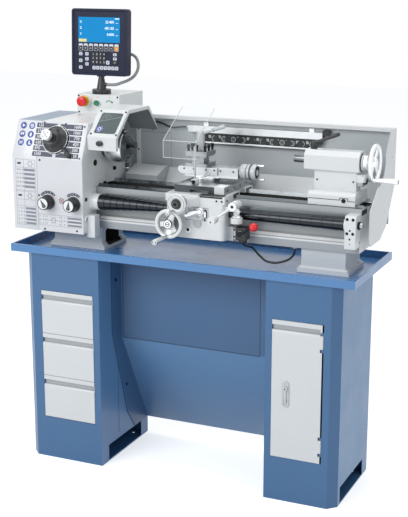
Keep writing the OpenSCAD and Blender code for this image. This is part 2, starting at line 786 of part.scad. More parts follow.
module chuck_body() {
  r = chuck_d / 2;
  edge = 3;
  color("#6e7478")
    difference() {
      union() {
        rod_x(r - 5, plate_x, chuck_x0 + 1, 0, axis_z);
        rod_x(r - 1.5, chuck_x0, chuck_x0 + 1.5, 0, axis_z, r);
        rod_x(r, chuck_x0 + 1.5, chuck_x1 - edge, 0, axis_z);
        rod_x(r, chuck_x1 - edge, chuck_x1, 0, axis_z, r - edge);
      }
      rod_x(spindle_bore / 2 + 3, plate_x - 1, chuck_x1 + 1, 0, axis_z);
      for (i = [0 : 2])
        about_spindle(jaw_turn + 120 * i)
          jaw_slot(slide_fit);
      for (i = [0 : 2])
        about_spindle(jaw_turn + 60 + 120 * i) {
          block(chuck_x0 + 14, chuck_x0 + 23, -4.5, 4.5, r - 14, r + 1);
          rod_z(8, r - 3, r + 1, chuck_x0 + 18.5, 0);
        }
    }
}

jaw_in = 15; // radius at the jaws' tips
jaw_len = 46;
module jaw(i) {
  x0 = chuck_x1 - jaw_depth;
  step = jaw_len / jaw_steps;
  color("#84898d")
    about_spindle(jaw_turn + 120 * i) {
      intersection() {
        along_y(-jaw_w / 2, jaw_w / 2)
          polygon([[x0, jaw_in], [x0, jaw_in + jaw_len], [chuck_x1 + 8, jaw_in + jaw_len],
            [chuck_x1 + 8, jaw_in + 2 * step], [chuck_x1 + 17, jaw_in + 2 * step],
            [chuck_x1 + 17, jaw_in + step], [chuck_x1 + 26, jaw_in + step], [chuck_x1 + 26, jaw_in]]);
        translate([x0 - 1, 0, jaw_in - 7])
          rotate([45, 0, 0])
            block(0, 100, 0, 100, 0, 100);
      }
      block(x0 + 7, x0 + 14, -jaw_w / 2 - jaw_foot, jaw_w / 2 + jaw_foot, jaw_in + 12, jaw_in + jaw_len - 3);
    }
}
module jaw_1() { jaw(0); }
module jaw_2() { jaw(1); }
module jaw_3() { jaw(2); }

// ---- chuck guard: a folded sheet on a rod, with a window in its slope
pivot_y = 80;
pivot_z = head_z + 22;
guard_sheet_x0 = head_x1 + 2;
guard_sheet_x1 = chuck_x1 + 33;
fold_front_y = -155;
fold_low_z = axis_z + 2;
fold_z = axis_z + 54;
fold_top_y = -53;
fold_top_z = axis_z + 146;
fold_back_y = 119;
tail_y = 203;
tail_z = axis_z + 42;
slope_a = atan2(fold_top_z - fold_z, fold_top_y - fold_front_y);
slope_len = norm([fold_top_z - fold_z, fold_top_y - fold_front_y]);

// Places children on the guard's slope: x, then distance up the slope, then out.
module on_guard_slope() {
  translate([0, fold_front_y, fold_z])
    rotate([slope_a, 0, 0])
      children();
}

module chuck_guard() {
  t = 2;
  color("#eceeef")
    difference() {
      union() {
        along_x(guard_sheet_x0, guard_sheet_x1)
          polygon([[fold_front_y, fold_low_z], [fold_front_y, fold_z], [fold_top_y, fold_top_z],
            [fold_back_y, fold_top_z], [tail_y, tail_z], [tail_y - t * 1.4, tail_z - t * 0.4],
            [fold_back_y - t * 0.5, fold_top_z - t], [fold_top_y + t * 0.4, fold_top_z - t],
            [fold_front_y + t, fold_z - t * 0.6], [fold_front_y + t, fold_low_z]]);
        block(guard_sheet_x0, guard_sheet_x0 + 16, pivot_y - 11, pivot_y + 11, pivot_z - 11, fold_top_z - 1);
      }
      on_guard_slope()
        block(guard_sheet_x0 + 20, guard_sheet_x1 - 14, 18, slope_len - 16, -8, 8);
      rod_x(6 + run_fit, guard_sheet_x0 - 1, guard_sheet_x1 + 1, pivot_y, pivot_z);
    }
}

module guard_window() {
  color("#3c474b")
    on_guard_slope()
      block(guard_sheet_x0 + 13, guard_sheet_x1 - 7, 11, slope_len - 9, -5.3, -2.3);
}

// ---- controls on the front panel
module speed_lever() {
  color("#2b2e31")
    on_slope(dial_x, dial_s)
      difference() {
        union() {
          rod_y(54, -12, -1, 0, 0);
          rod_y(30, -46, -12, 0, 0, 50);
          rod_y(17, -66, -46, 0, 0);
          rod_y(14, -1, 30, 0, 0);
          rotate([0, 40, 0]) {
            rod_x(6, 40, 84, -12, 0);
            rod_x(10, 80, 100, -12, 0);
          }
        }
        rod_y(6 + run_fit, -67, 31, 0, 0);
      }
}

module range_knob() {
  color("#c3c7ca")
    on_slope(dial_x, dial_s) {
      rod_y(20, -86, -66.4, 0, 0);
      rod_y(6, -67, 20, 0, 0);
    }
}

module feed_knob(x) {
  color("#26282b") {
    rod_y(29, panel_y - 12, panel_y - 0.5, x, knob_z);
    rod_y(25, panel_y - 42, panel_y - 12, x, knob_z);
    rod_y(shaft_r, panel_y - 1, head_y0 + 25, x, knob_z);
    block(x - 5, x + 5, panel_y - 43, panel_y - 41, knob_z - 20, knob_z + 20);
  }
}
module feed_knob_left() { feed_knob(knob_left_x); }
module feed_knob_right() { feed_knob(knob_right_x); }

stop_x = box_x0 + 40;
stop_z = head_z + 54;
start_x = box_x0 + 92;
start_z = head_z + 47;
module electrical_box() {
  t = 2;
  color("#eff1f1")
    difference() {
      union() {
        block(box_x0, box_x1, box_y0, box_y1, head_z, box_z1);
        rod_y(22, box_y0 - 16, box_y0 + 1, stop_x, stop_z);
        rod_y(14, box_y0 - 5, box_y0 + 1, start_x, start_z);
      }
      difference() {
        block(box_x0 + t, box_x1 - t, box_y0 + t, box_y1 - t, head_z + t, box_z1 - t);
        rod_z(20, box_z1 - 22, box_z1, readout_x, readout_y);
      }
      rod_y(8 + run_fit, box_y0 - 17, box_y0 + 3, stop_x, stop_z);
      rod_y(9 + run_fit, box_y0 - 6, box_y0 + 3, start_x, start_z);
      rod_z(10 + run_fit, box_z1 - 21, box_z1 + 1, readout_x, readout_y);
    }
}

module stop_button() {
  color("#d8232a") {
    rod_y(20, box_y0 - 46, box_y0 - 30, stop_x, stop_z);
    rod_y(20, box_y0 - 30, box_y0 - 24, stop_x, stop_z, 13);
    rod_y(8, box_y0 - 25, box_y0 + 8, stop_x, stop_z);
  }
}

module start_button() {
  color("#1e8a53") {
    rod_y(11, box_y0 - 14, box_y0 - 10, start_x, start_z);
    rod_y(9, box_y0 - 11, box_y0 + 8, start_x, start_z);
  }
}

// ================================================================ leadscrew
module leadscrew() {
  color("#9da2a5")
    rod_x(leadscrew_d / 2, head_x1 - 55, bracket_x0 + bracket_w + 18, lead_y, lead_z);
}

// One telescopic spiral cover: coils that step from r0 to r1.
module spiral_cover(x0, x1, r0, r1) {
  coils = 14;
  wall = 1.6;
  dx = (x1 - x0) / coils;
  function r_at(i) = r0 + (r1 - r0) * i / (coils - 1);
  outer = [for (i = [0 : coils - 1], e = [0, 1]) [r_at(i), x0 + (i + e) * dx]];
  inner = [for (i = [coils - 1 : -1 : 0], e = [1, 0]) [r_at(i) - wall, x0 + (i + e) * dx]];
  translate([0, lead_y, lead_z])
    rotate([0, 90, 0])
      rotate_extrude($fn = smooth)
        polygon(concat(outer, inner));
}

module screw_covers() {
  r = leadscrew_d / 2;
  color("#3d4043") {
    spiral_cover(head_x1 + 37.3, saddle_x0 - 0.3, r + 19, r + 2.2);
    spiral_cover(saddle_x1 + 0.3, bracket_x0 - 6.3, r + 4, r + 12);
  }
}

// ================================================================ carriage
cross_c = (cross_x0 + cross_x1) / 2;
horn_r = 19;
horn_y = -216;
cross_wheel_r = 38;
cross_shaft = 8;

// Outline of a dovetail whose widest side is at v = height, or of its groove.
module dovetail(width, height, fit = 0) {
  lo = -fit;
  hi = height + fit;
  function half(v) = width / 2 - 0.6 * (height - v) + 1.2 * fit;
  polygon([[-half(lo), lo], [-half(hi), hi], [half(hi), hi], [half(lo), lo]]);
}

module saddle() {
  color("#dcdfe0")
    difference() {
      union() {
        block(saddle_x0, saddle_x1, apron_y0, -bed_y - 0.2, apron_z1, saddle_top);
        block(saddle_x0, saddle_x1, -bed_y - 1, bed_y + 12, way_z + 0.1, saddle_top);
        block(saddle_x0, saddle_x1, bed_y + 0.4, bed_y + 12, way_z - 26, way_z + 2);
        translate([cross_c, 0, saddle_top - 0.01])
          along_y(-bed_y, bed_y + 10)
            dovetail(dove_w, dove_h);
        hull() {
          rod_y(horn_r, horn_y, horn_y + 2, screw_x, screw_z);
          block(screw_x - 44, screw_x + 58, apron_y0 - 2, apron_y0, screw_z - 20, screw_z + horn_r);
        }
      }
      vee_grooves(saddle_x0 - 1, saddle_x1 + 1, slide_fit);
      for (x = [saddle_x0 - 1, saddle_x1 - 18])
        block(x, x + 19, -26, 26, way_z - 1, saddle_top + 1);
      rod_y(cross_shaft + run_fit, horn_y - 1, -60, screw_x, screw_z);
    }
}

wheel_x = saddle_x0 + 34;
wheel_z = way_z - 90;
feed_x = saddle_x0 + 148;
feed_z = apron_z1 - 28;
module apron() {
  bolt = 9;
  color("#e6e8e9")
    difference() {
      union() {
        along_z(apron_z0, apron_z1) {
          soft_rect(saddle_x0, saddle_x1, apron_y0, apron_y1, 16);
          translate([saddle_x0, apron_y0 + 20])
            square([saddle_len, apron_y1 - apron_y0 - 20]);
        }
        rod_y(27, apron_y0 - 14, apron_y0 + 1, wheel_x, wheel_z);
        block(feed_x - 66, feed_x + 25, apron_y0 - 4, apron_y0 + 1, feed_z - 38, feed_z + 14);
        block(saddle_x1 - 1, saddle_x1 + 18, -130, apron_y1, apron_z0 - 4, apron_z0 + 48);
      }
      rod_x(leadscrew_d / 2 + 0.4, saddle_x0 - 1, saddle_x1 + 1, lead_y, lead_z);
      rod_y(bolt + run_fit, apron_y0 - 15, apron_y0 + 31, wheel_x, wheel_z);
      rod_y(5 + run_fit, apron_y0 - 5, apron_y0 + 21, feed_x, feed_z);
      rod_y(cross_shaft + run_fit, apron_y0 - 1, apron_y1 + 1, screw_x, screw_z);
    }
}

// A dished handwheel turned about Y, with its hub at the back.
module dished_wheel(r, hub_r, depth) {
  rotate([90, 0, 0])
    rotate_extrude($fn = smooth) {
      polygon([[0, 0], [hub_r, 0], [hub_r, depth * 0.25], [r - 8, depth * 0.72], [r - 8, depth * 0.92],
        [hub_r, depth * 0.5], [hub_r, depth * 0.85], [0, depth * 0.85]]);
      translate([r - 7, depth * 0.8])
        circle(7, $fn = 32);
    }
}

module apron_handwheel() {
  color("#e9ebeb")
    translate([wheel_x, apron_y0 - 14.3, wheel_z]) {
      dished_wheel(apron_wheel_r, 17, 38);
      rod_y(9, -1, 40, 0, 0);
      rod_y(6, -62, -30, -7, -apron_wheel_r + 8);
      rod_y(10.5, -140, -60, -7, -apron_wheel_r + 8);
    }
}

module cross_slide() {
  color("#a9aeb1")
    difference() {
      block(cross_x0, cross_x1, cross_y0, cross_y1, cross_z0, cross_top);
      translate([cross_c, 0, saddle_top])
        along_y(cross_y0 - 1, cross_y1 + 1)
          dovetail(dove_w, dove_h, slide_fit);
      for (x = [cross_c - 66, cross_c + 66]) {
        block(x - 5, x + 5, 60, cross_y1 + 1, cross_top - 14, cross_top + 1);
        block(x - 9, x + 9, 60, cross_y1 + 1, cross_top - 14, cross_top - 7);
      }
    }
}

module cross_handwheel() {
  color("#dfe2e3")
    translate([screw_x, horn_y - 0.3, screw_z]) {
      rod_y(27, -26, 0, 0, 0);
      rotate([90, 0, 0])
        rotate_extrude($fn = smooth) {
          polygon([[0, 24], [cross_wheel_r - 4, 24], [cross_wheel_r - 4, 38], [cross_wheel_r - 12, 38],
            [17, 32], [17, 44], [0, 44]]);
          translate([cross_wheel_r - 7, 31])
            circle(7, $fn = 32);
        }
      rod_y(cross_shaft, -1, 90, 0, 0);
      rod_y(3.5, -46, -36, -8, -26);
      rod_y(5.5, -86, -44, -8, -26);
    }
}

// ---- compound slide
module compound_base() {
  cx = swivel_x;
  color("#b3b8bb")
    difference() {
      union() {
        rod_z(swivel_r, cross_top, comp_z0 + 1, cx, 0);
        for (s = [-1, 1])
          rod_z(6, cross_top + swivel_h - 1, cross_top + swivel_h + 5, cx, s * (swivel_r - 8));
        block(comp_x0, comp_x1, -comp_y + 12, comp_y - 12, comp_z0, comp_z0 + 11);
        translate([0, 0, comp_z0 + 10.99])
          along_x(comp_x0, comp_x1)
            dovetail(comp_dove_w, comp_dove_h);
        block(comp_x1, comp_x1 + 80, -comp_y + 8, comp_y - 8, comp_z0 + 3, comp_z0 + 42);
        block(comp_x1 - 14, comp_x1 + 1, -comp_y + 12, comp_y - 12, comp_z0, comp_z0 + 11);
      }
      rod_x(6 + run_fit, comp_x1 - 1, comp_x1 + 81, 0, comp_screw_z);
    }
}

module top_slide() {
  color("#c2c6c8")
    difference() {
      union() {
        along_y(-comp_y, comp_y)
          polygon([[top_x0 + 14, comp_z0 + 11.2], [top_x0, comp_z1 - 2], [top_x0, top_z1 - 6],
            [top_x0 + 6, top_z1], [top_x1 - 0.4, top_z1], [top_x1 - 0.4, comp_z0 + 11.2]]);
      }
      translate([0, 0, comp_z0 + 11])
        along_x(top_x0 - 1, top_x1 + 1)
          dovetail(comp_dove_w, comp_dove_h, slide_fit);
      rod_x(6.4, top_x0 + 40, top_x1 + 1, 0, comp_screw_z);
      rod_z(10 + run_fit, top_z1 - 5.2, top_z1 + 1, post_x, 0);
    }
}

module top_handwheel() {
  x = comp_x1 + 80.3;
  color("#d9dcdd") {
    rod_x(24, x, x + 6, 0, comp_screw_z, 29);
    rod_x(29, x + 6, x + 40, 0, comp_screw_z);
    rod_x(25, x + 40, x + 48, 0, comp_screw_z);
    rod_x(31, x + 48, x + 66, 0, comp_screw_z);
    for (s = [-1, 1])
      rod_x(4, x + 65, x + 92, 0, comp_screw_z + s * 26);
    rod_x(6, top_x0 + 60, x + 1, 0, comp_screw_z);
  }
}

// Four-way tool post with square-head clamping screws.
module tool_post() {
  h = post_w / 2;
  z1 = post_z + 13;
  z2 = z1 + tool_slot;
  color("#9a9fa2")
    difference() {
      union() {
        block(post_x - h, post_x + h, -h, h, post_z, z1);
        block(post_x - h + 19, post_x + h - 19, -h + 19, h - 19, z1 - 1, z2 + 1);
        block(post_x - h, post_x + h, -h, h, z2, post_z + post_h);
        for (i = [-1 : 1], j = [-1 : 1])
          if (i != 0 || j != 0)
            translate([post_x + i * (h - 9), j * (h - 9), 0]) {
              rod_z(4.5, z2 - 6, post_z + post_h + 12, 0, 0);
              block(-4.5, 4.5, -4.5, 4.5, post_z + post_h + 10, post_z + post_h + 24);
            }
      }
      rod_z(10 + run_fit, post_z - 1, post_z + post_h + 1, post_x, 0);
    }
}

lever_rise = 20;
module post_lever() {
  z = post_z + post_h;
  color("#e3e5e6") {
    rod_z(10, top_z1 - 5, z + 2, post_x, 0);
    rod_z(20, z + 0.5, z + 12, post_x, 0, 16);
    rod_z(16, z + 12, z + 72, post_x, 0);
    rod_z(16, z + 72, z + 77, post_x, 0, 12);
    translate([post_x, 0, z + 60])
      rotate([0, -lever_rise, 0]) {
        rod_x(4.5, 12, 58, 0, 0);
        rod_x(5, 56, 70, 0, 0, 6);
        rod_x(6, 70, 106, 0, 0);
      }
  }
}

// ---- levers and the switch on the apron
dial_axis_x = saddle_x1 + 45;
dial_axis_y = apron_y0 + 6;
nut_x = saddle_x1 + 44;
nut_z = apron_z1 + 4;
module thread_dial() {
  color("#dfe2e3")
    difference() {
      union() {
        rod_z(22, lead_z - 22, lead_z - 2, dial_axis_x, dial_axis_y);
        rod_z(11, lead_z - 3, nut_z, dial_axis_x, dial_axis_y);
        rod_y(17, apron_y0 - 20, apron_y0 + 22, nut_x, nut_z);
        block(saddle_x1, dial_axis_x, apron_y0 + 8, apron_y0 + 20, lead_z + 18, lead_z + 34);
      }
      rod_y(6 + run_fit, apron_y0 - 21, apron_y0 + 12, nut_x, nut_z);
    }
}

module half_nut_lever() {
  color("#dcdfe0")
    translate([nut_x, apron_y0 - 20.3, nut_z]) {
      rod_y(16, -14, 0, 0, 0);
      rod_y(6, -1, 30, 0, 0);
      translate([0, -7, 0])
        rotate([0, 142, 0])
          rotate([0, 0, -12])
            rod_x(5, 8, 76, 0, 0);
      translate([0, -7, 0])
        rotate([0, 38, 0])
          rod_x(6, 8, 34, 0, 0);
      rod_y(15, -62, -26, -62, -48);
      rod_y(9, -27, -14, -62, -48);
    }
}

module feed_lever() {
  color("#d3d6d8")
    translate([feed_x, apron_y0 - 4.3, feed_z]) {
      rod_y(11, -14, 0, 0, 0);
      rod_y(5, -1, 20, 0, 0);
      translate([0, -8, 0])
        rotate([0, 165, 0])
          rotate([0, 0, -30])
            rod_x(5, 6, 52, 0, 0);
    }
}

switch_x = saddle_x1 + 42;
switch_y0 = -168;
switch_z0 = apron_z0 + 10;
lever_y = switch_y0 - 6;
lever_z = switch_z0 + 24;
module control_switch() {
  x1 = switch_x + 40;
  color("#1f2123")
    difference() {
      union() {
        block(switch_x, x1, switch_y0, -124, switch_z0, switch_z0 + 46);
        block(saddle_x1 + 18.2, switch_x + 1, -128, apron_y1, apron_z0 + 2, apron_z0 + 44);
        rod_z(8, 956, switch_z0 + 1, 204, -140);
      }
      rod_y(6 + run_fit, switch_y0 - 1, switch_y0 + 20, switch_x + 20, lever_z);
    }
}

module control_lever() {
  color("#c41e25")
    translate([switch_x + 20, lever_y, lever_z]) {
      rod_y(10, -6, 5.5, 0, 0);
      rod_y(6, 4, 22, 0, 0);
      rotate([0, -30, 0]) {
        rod_x(4, 4, 50, 0, 0);
        translate([62, 0, 0])
          sphere(16, $fn = smooth);
      }
    }
}

// Clear chip shield on a rod clamped to the cross slide.
shield_x0 = -138;
shield_x1 = -3;
shield_y = -102;
shield_bend_z = axis_z + 50;
shield_rod_x = -10;
module chip_shield() {
  color("#dfe6e8")
    along_x(shield_x0, shield_x1)
      polygon([[shield_y, axis_z - 15], [shield_y, shield_bend_z], [shield_y + 172, shield_bend_z + 108],
        [shield_y + 173.6, shield_bend_z + 105.4], [shield_y + 3, shield_bend_z - 1.9], [shield_y + 3, axis_z - 15]]);
  color("#e6e8e9") {
    rod_z(4, cross_top + 10, shield_bend_z - 6, shield_rod_x, shield_y + 7);
    block(shield_rod_x - 10, shield_rod_x + 10, shield_y - 4, shield_y + 18, cross_top, cross_top + 18);
    block(shield_rod_x - 6, shield_rod_x + 6, shield_y + 3, shield_y + 11, shield_bend_z - 16, shield_bend_z - 6);
  }
}

// ================================================================ tailstock
module tailstock() {
  h = tail_half;
  r = quill_d / 2 + run_fit;
  color("#eceeee")
    difference() {
      union() {
        along_x(tail_x0, tail_x1)
          polygon([[-h, head_under], [-h, head_over - 18], [-h + 18, head_over], [h - 18, head_over],
            [h, head_over - 18], [h, head_under], [h - 4, head_under - 4], [-h + 4, head_under - 4]]);
        block(tail_x0 + 36, tail_x1 - 12, -25, 25, tail_foot_top - 2, head_under);
        along_x(tail_x0 + 30, tail_x1)
          polygon([[-bed_y + 15, tail_split], [-bed_y + 15, tail_split + 14], [-bed_y + 27, tail_foot_top],
            [bed_y - 15, tail_foot_top], [bed_y - 15, tail_split]]);
        block(tail_x0 + 30, tail_x1, -bed_y + 15, bed_y - 10, tail_base_z, tail_split - 0.6);
        block(tail_x0 + 40, tail_x1 - 20, -bed_y + 40, bed_y - 40, tail_split - 1, tail_split + 1);
        rod_x(30, tail_x1 - 1, tail_x1 + 9, 0, axis_z);
        rod_y(12, -34, -20, tail_x1 + 8, head_under - 26);
        block(tail_x1 - 14, tail_x1 + 20, -24, 14, head_under - 40, head_under - 12);
      }
      rod_x(r, tail_x0 - 1, tail_x1 - 20, 0, axis_z);
      rod_x(8 + run_fit, tail_x1 - 21, tail_x1 + 10, 0, axis_z);
      vee_grooves(tail_x0 - 1, tail_x1 + 1, slide_fit);
      rod_z(6 + run_fit, axis_z, head_over + 1, tail_x0 + 24, 0);
    }
}

quill_len = 170;
module quill() {
  x0 = tail_x0 - quill_out;
  color("#b9bdc0")
    difference() {
      rod_x(quill_d / 2, x0, x0 + quill_len, 0, axis_z);
      rod_x(quill_bore / 2, x0 - 1, x0 + 62, 0, axis_z);
      rod_x(8 + slide_fit, x0 + 70, x0 + quill_len + 1, 0, axis_z);
    }
}

// Spoked wheel with a revolving handle.
module tail_handwheel() {
  x = tail_x1 + 9.3;
  spokes = 4;
  r = tail_wheel_r;
  color("#e3e6e7") {
    rod_x(28, x, x + 14, 0, axis_z);
    rod_x(15, x + 13, x + 44, 0, axis_z);
    rod_x(8, tail_x0 + 72, x + 1, 0, axis_z);
    translate([x + 38, 0, axis_z])
      rotate([0, 90, 0])
        rotate_extrude($fn = smooth)
          translate([r - 8, 0])
            circle(8, $fn = 32);
    for (i = [0 : spokes - 1])
      translate([x + 34, 0, axis_z])
        rotate([45 + 360 / spokes * i, 0, 0])
          rod_z(6, 10, r - 8, 0, 0);
    rod_x(5, x + 44, x + 56, -40, axis_z - 53);
    rod_x(9, x + 55, x + 136, -40, axis_z - 53);
  }
}

module quill_lock() {
  x = tail_x0 + 24;
  color("#1f2123") {
    rod_z(6, axis_z + quill_d / 2 + 0.4, head_over + 2, x, 0);
    rod_z(13, head_over + 0.4, head_over + 24, x, 0, 11);
    translate([x, 0, head_over + 20])
      rotate([0, -22, 0]) {
        rod_x(6, 0, 70, 0, 0);
        rod_x(7.5, 62, 104, 0, 0, 5.5);
      }
  }
}

// ================================================================ splash guard
wall_t = 2;
wall_low_z = way_z + 40;
slope_y = 148;
slope_z = way_z - 56;
plate_y0 = -98;
module splash_guard() {
  y = guard_y;
  z1 = guard_z1;
  color("#dfe2e3") {
    along_x(guard_x0, guard_x1)
      polygon([[y - 26, z1 - 14], [y - 26, z1], [y + wall_t, z1], [y + wall_t, wall_low_z],
        [slope_y + wall_t, slope_z], [slope_y + wall_t, slope_z - 42], [slope_y, slope_z - 42],
        [slope_y, slope_z + 1], [y, wall_low_z + 1], [y, z1 - 2], [y - 24, z1 - 2], [y - 24, z1 - 14]]);
    difference() {
      along_x(guard_x1 - wall_t, guard_x1)
        polygon([[y - 72, z1], [y + wall_t, z1], [y + wall_t, wall_low_z], [slope_y + wall_t, slope_z],
          [slope_y - 28, slope_z - 42], [44, slope_z - 80], [-75, slope_z - 80], [plate_y0, slope_z - 60],
          [plate_y0, way_z - 8], [15, way_z + 82]]);
      rod_x(84, guard_x1 - wall_t - 1, guard_x1 + 1, 0, axis_z);
    }
    block(guard_x0, guard_x0 + 18, y - 8, y + 1, wall_low_z, z1 - 1);
    along_x(guard_x0, guard_x0 + 141)
      polygon([[bed_y + 14, way_z - 10], [bed_y + 14, way_z + 22], [y - 30, way_z + 48], [y - 8, way_z + 48],
        [y - 8, way_z + 34], [slope_y + 20, way_z - 10]]);
    for (x = [guard_x0 + 60, guard_x1 - 120])
      block(x, x + 30, bed_y - 18, slope_y + 1, way_z - 92, way_z - 88);
  }
}

// Lamp bar on the rear wall: a channel with a row of lenses under it.
lamp_x0 = saddle_x0 - 75;
lamp_len = 559;
module work_lamp() {
  y1 = guard_y - 0.2;
  z = way_z + 191;
  x1 = lamp_x0 + lamp_len;
  lenses = 9;
  pitch = (lamp_len - 110) / lenses;
  color("#d5d8da") {
    difference() {
      block(lamp_x0, x1, y1 - 26, y1 - 3, z + 2, z + 28);
      block(lamp_x0 - 1, x1 + 1, y1 - 22, y1 - 7, z + 1, z + 10);
    }
    for (x = [lamp_x0 + 60, x1 - 60])
      block(x, x + 20, y1 - 4, y1, z + 4, z + 40);
    block(x1 - 12, x1 - 4, y1 - 22, y1 - 6, z - 18, z + 3);
    block(x1, x1 + 26, y1 - 24, y1 - 4, z + 18, z + 38);
  }
  color("#232527") {
    block(lamp_x0 + 46, x1 - 44, y1 - 20, y1 - 8, z - 43, z + 10);
    for (i = [0 : lenses - 1])
      rod_y(13, y1 - 24, y1 - 19, lamp_x0 + 72 + i * pitch, z - 20);
    rod_x(6, lamp_x0 - 8, lamp_x0 + 1, 199, z + 18.5);
  }
}

// ================================================================ readout
readout_tilt = 2.5;
neck_z = box_z1 + 18;
module readout_post() {
  color("#24272a") {
    rod_z(38, box_z1 + 0.3, neck_z, readout_x, readout_y);
    rod_z(20, neck_z - 1, readout_z0 - 3, readout_x, readout_y, 11);
    rod_z(10, box_z1 - 18, box_z1 + 1, readout_x, readout_y);
    rod_x(7.5, readout_x, readout_x + 24, readout_y, neck_z + 18.5);
    block(readout_x - 16, readout_x + 16, readout_y - 8, readout_y + 8, readout_z0 - 4, readout_z0);
  }
}

module readout() {
  h = readout_h;
  w = readout_w / 2;
  color("#1d2233")
    translate([readout_x, readout_y, readout_z0])
      rotate([-readout_tilt, 0, 0]) {
        along_y(-readout_t / 2, readout_t / 2)
          soft_rect(-w, w, 0.4, h, 12);
        rod_y(9, readout_t / 2 - 1, readout_t / 2 + 8, w - 29, 85.8);
      }
}

module readout_cable() {
  color("#8a8f93")
    tube_along(readout_route, readout_cable_d);
}

module switch_cable() {
  color("#232527")
    tube_along(switch_route, switch_cable_d);
}

module lamp_cable() {
  color("#232527")
    tube_along(lamp_route, lamp_cable_d);
}

// ================================================================ drawing
cabinet_left();
cabinet_right();
rear_panel();
chip_tray();
drawer_top();
drawer_middle();
drawer_bottom();
cabinet_door();
door_latch();
bed();
machine_bolts();
end_bracket();
headstock();
gearbox();
front_panel();
end_cover();
spindle();
motor();
chuck_body();
jaw_1();
jaw_2();
jaw_3();
chuck_guard();
guard_window();
speed_lever();
range_knob();
feed_knob_left();
feed_knob_right();
electrical_box();
stop_button();
start_button();
leadscrew();
screw_covers();
saddle();
apron();
apron_handwheel();
cross_slide();
cross_handwheel();
compound_base();
top_slide();
top_handwheel();
tool_post();
post_lever();
half_nut_lever();
feed_lever();
thread_dial();
control_switch();
control_lever();
chip_shield();
tailstock();
quill();
tail_handwheel();
quill_lock();
splash_guard();
work_lamp();
readout_post();
readout();
readout_cable();
switch_cable();
lamp_cable();
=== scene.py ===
"""Looks of a bench lathe on a two-cabinet stand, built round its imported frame.

Every size is in millimetres on the machine's own axes: +X along the bed toward
the tailstock, +Y away from the operator, +Z up. Shapes become metres when they
are made into a piece.
"""

from __future__ import annotations

import json
import logging
import math
from dataclasses import dataclass
from enum import Enum
from typing import Callable, Iterable, Sequence

import bmesh
import bpy
from bmesh.types import BMesh
from bpy.types import Material, Node, NodeSocket, NodeTree, Object, World
from mathutils import Matrix, Vector

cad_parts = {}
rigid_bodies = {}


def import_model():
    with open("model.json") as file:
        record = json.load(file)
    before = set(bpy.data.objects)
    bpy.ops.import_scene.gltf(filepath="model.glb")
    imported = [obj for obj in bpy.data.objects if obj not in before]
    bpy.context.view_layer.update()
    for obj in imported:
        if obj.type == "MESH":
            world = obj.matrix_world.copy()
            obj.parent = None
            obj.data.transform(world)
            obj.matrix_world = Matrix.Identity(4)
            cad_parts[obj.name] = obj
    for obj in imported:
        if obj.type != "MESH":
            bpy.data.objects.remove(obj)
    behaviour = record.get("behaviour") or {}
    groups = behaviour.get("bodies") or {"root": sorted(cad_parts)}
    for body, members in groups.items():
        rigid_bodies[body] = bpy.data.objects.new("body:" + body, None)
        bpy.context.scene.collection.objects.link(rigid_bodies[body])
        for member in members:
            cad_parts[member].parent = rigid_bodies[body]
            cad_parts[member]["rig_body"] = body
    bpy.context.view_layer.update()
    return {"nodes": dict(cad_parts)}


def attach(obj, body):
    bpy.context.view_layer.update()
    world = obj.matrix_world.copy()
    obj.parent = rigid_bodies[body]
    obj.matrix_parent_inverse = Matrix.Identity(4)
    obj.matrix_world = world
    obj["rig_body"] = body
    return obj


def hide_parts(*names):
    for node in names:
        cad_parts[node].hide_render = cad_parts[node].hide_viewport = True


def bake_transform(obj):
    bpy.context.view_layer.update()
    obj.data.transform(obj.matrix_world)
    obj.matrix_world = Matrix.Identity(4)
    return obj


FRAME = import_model()
LOG = logging.getLogger("lathe")
MM = 0.001
SENSOR = 36.0  # width of the camera's sensor in millimetres
SPINDLE_Z = 1249.5
LEADSCREW = (-120.0, 1046.5)
CORNER = 28.0  # degrees between two faces from which the edge between them is a corner
INK = 0.3  # thickness of what is printed on a panel
FINE_INK = 0.25  # and of its fine lines
TICK = 0.25  # half the width of a graduation
Point = Sequence[float]
Pair = tuple[float, float]
Place = tuple[float, float, float]
Outline = list[Pair]
FaceTest = Callable[[Vector, Vector], bool]  # picks a face by its middle and its normal


# -------- finishes
def linear(code: str) -> tuple[float, float, float, float]:
    """Turns an sRGB hex colour, as "#rrggbb", into linear red, green, blue and alpha."""
    parts = [int(code[i : i + 2], 16) / 255 for i in (1, 3, 5)]
    red, green, blue = (p / 12.92 if p <= 0.04045 else ((p + 0.055) / 1.055) ** 2.4 for p in parts)
    return red, green, blue, 1.0


def wire(node: Node, inputs: dict) -> None:
    """Sets or links the inputs of a node.

    Args:
        node: the node.
        inputs: a socket to link, or a value to set, for each input name or index.
    """
    for key, value in inputs.items():
        if isinstance(value, NodeSocket):
            node.id_data.links.new(value, node.inputs[key])
        else:
            node.inputs[key].default_value = value


def add(tree: NodeTree, kind: str, inputs: dict | None = None, **settings) -> Node:
    """Adds one node with its settings and links.

    Args:
        tree: the node tree that it goes into.
        kind: the node's type, without "ShaderNode".
        inputs: a socket to link, or a value to set, for each input name or index.
        settings: properties of the node itself.

    Returns:
        The new node.
    """
    node = tree.nodes.new("ShaderNode" + kind)
    for name, value in settings.items():
        setattr(node, name, value)
    wire(node, inputs or {})
    return node


def bare_tree(owner: Material | World) -> NodeTree:
    """Returns the emptied node tree of a material or a world."""
    owner.use_nodes = True
    owner.node_tree.nodes.clear()
    return owner.node_tree


class Grain(Enum):
    """Which way the tool marks run on a metal surface."""

    NONE = "none"
    ALONG_X = "along the bed"
    ALONG_Y = "across the bed"
    ABOUT_X = "turned about the spindle's direction"
    ABOUT_Y = "turned about the operator's direction"


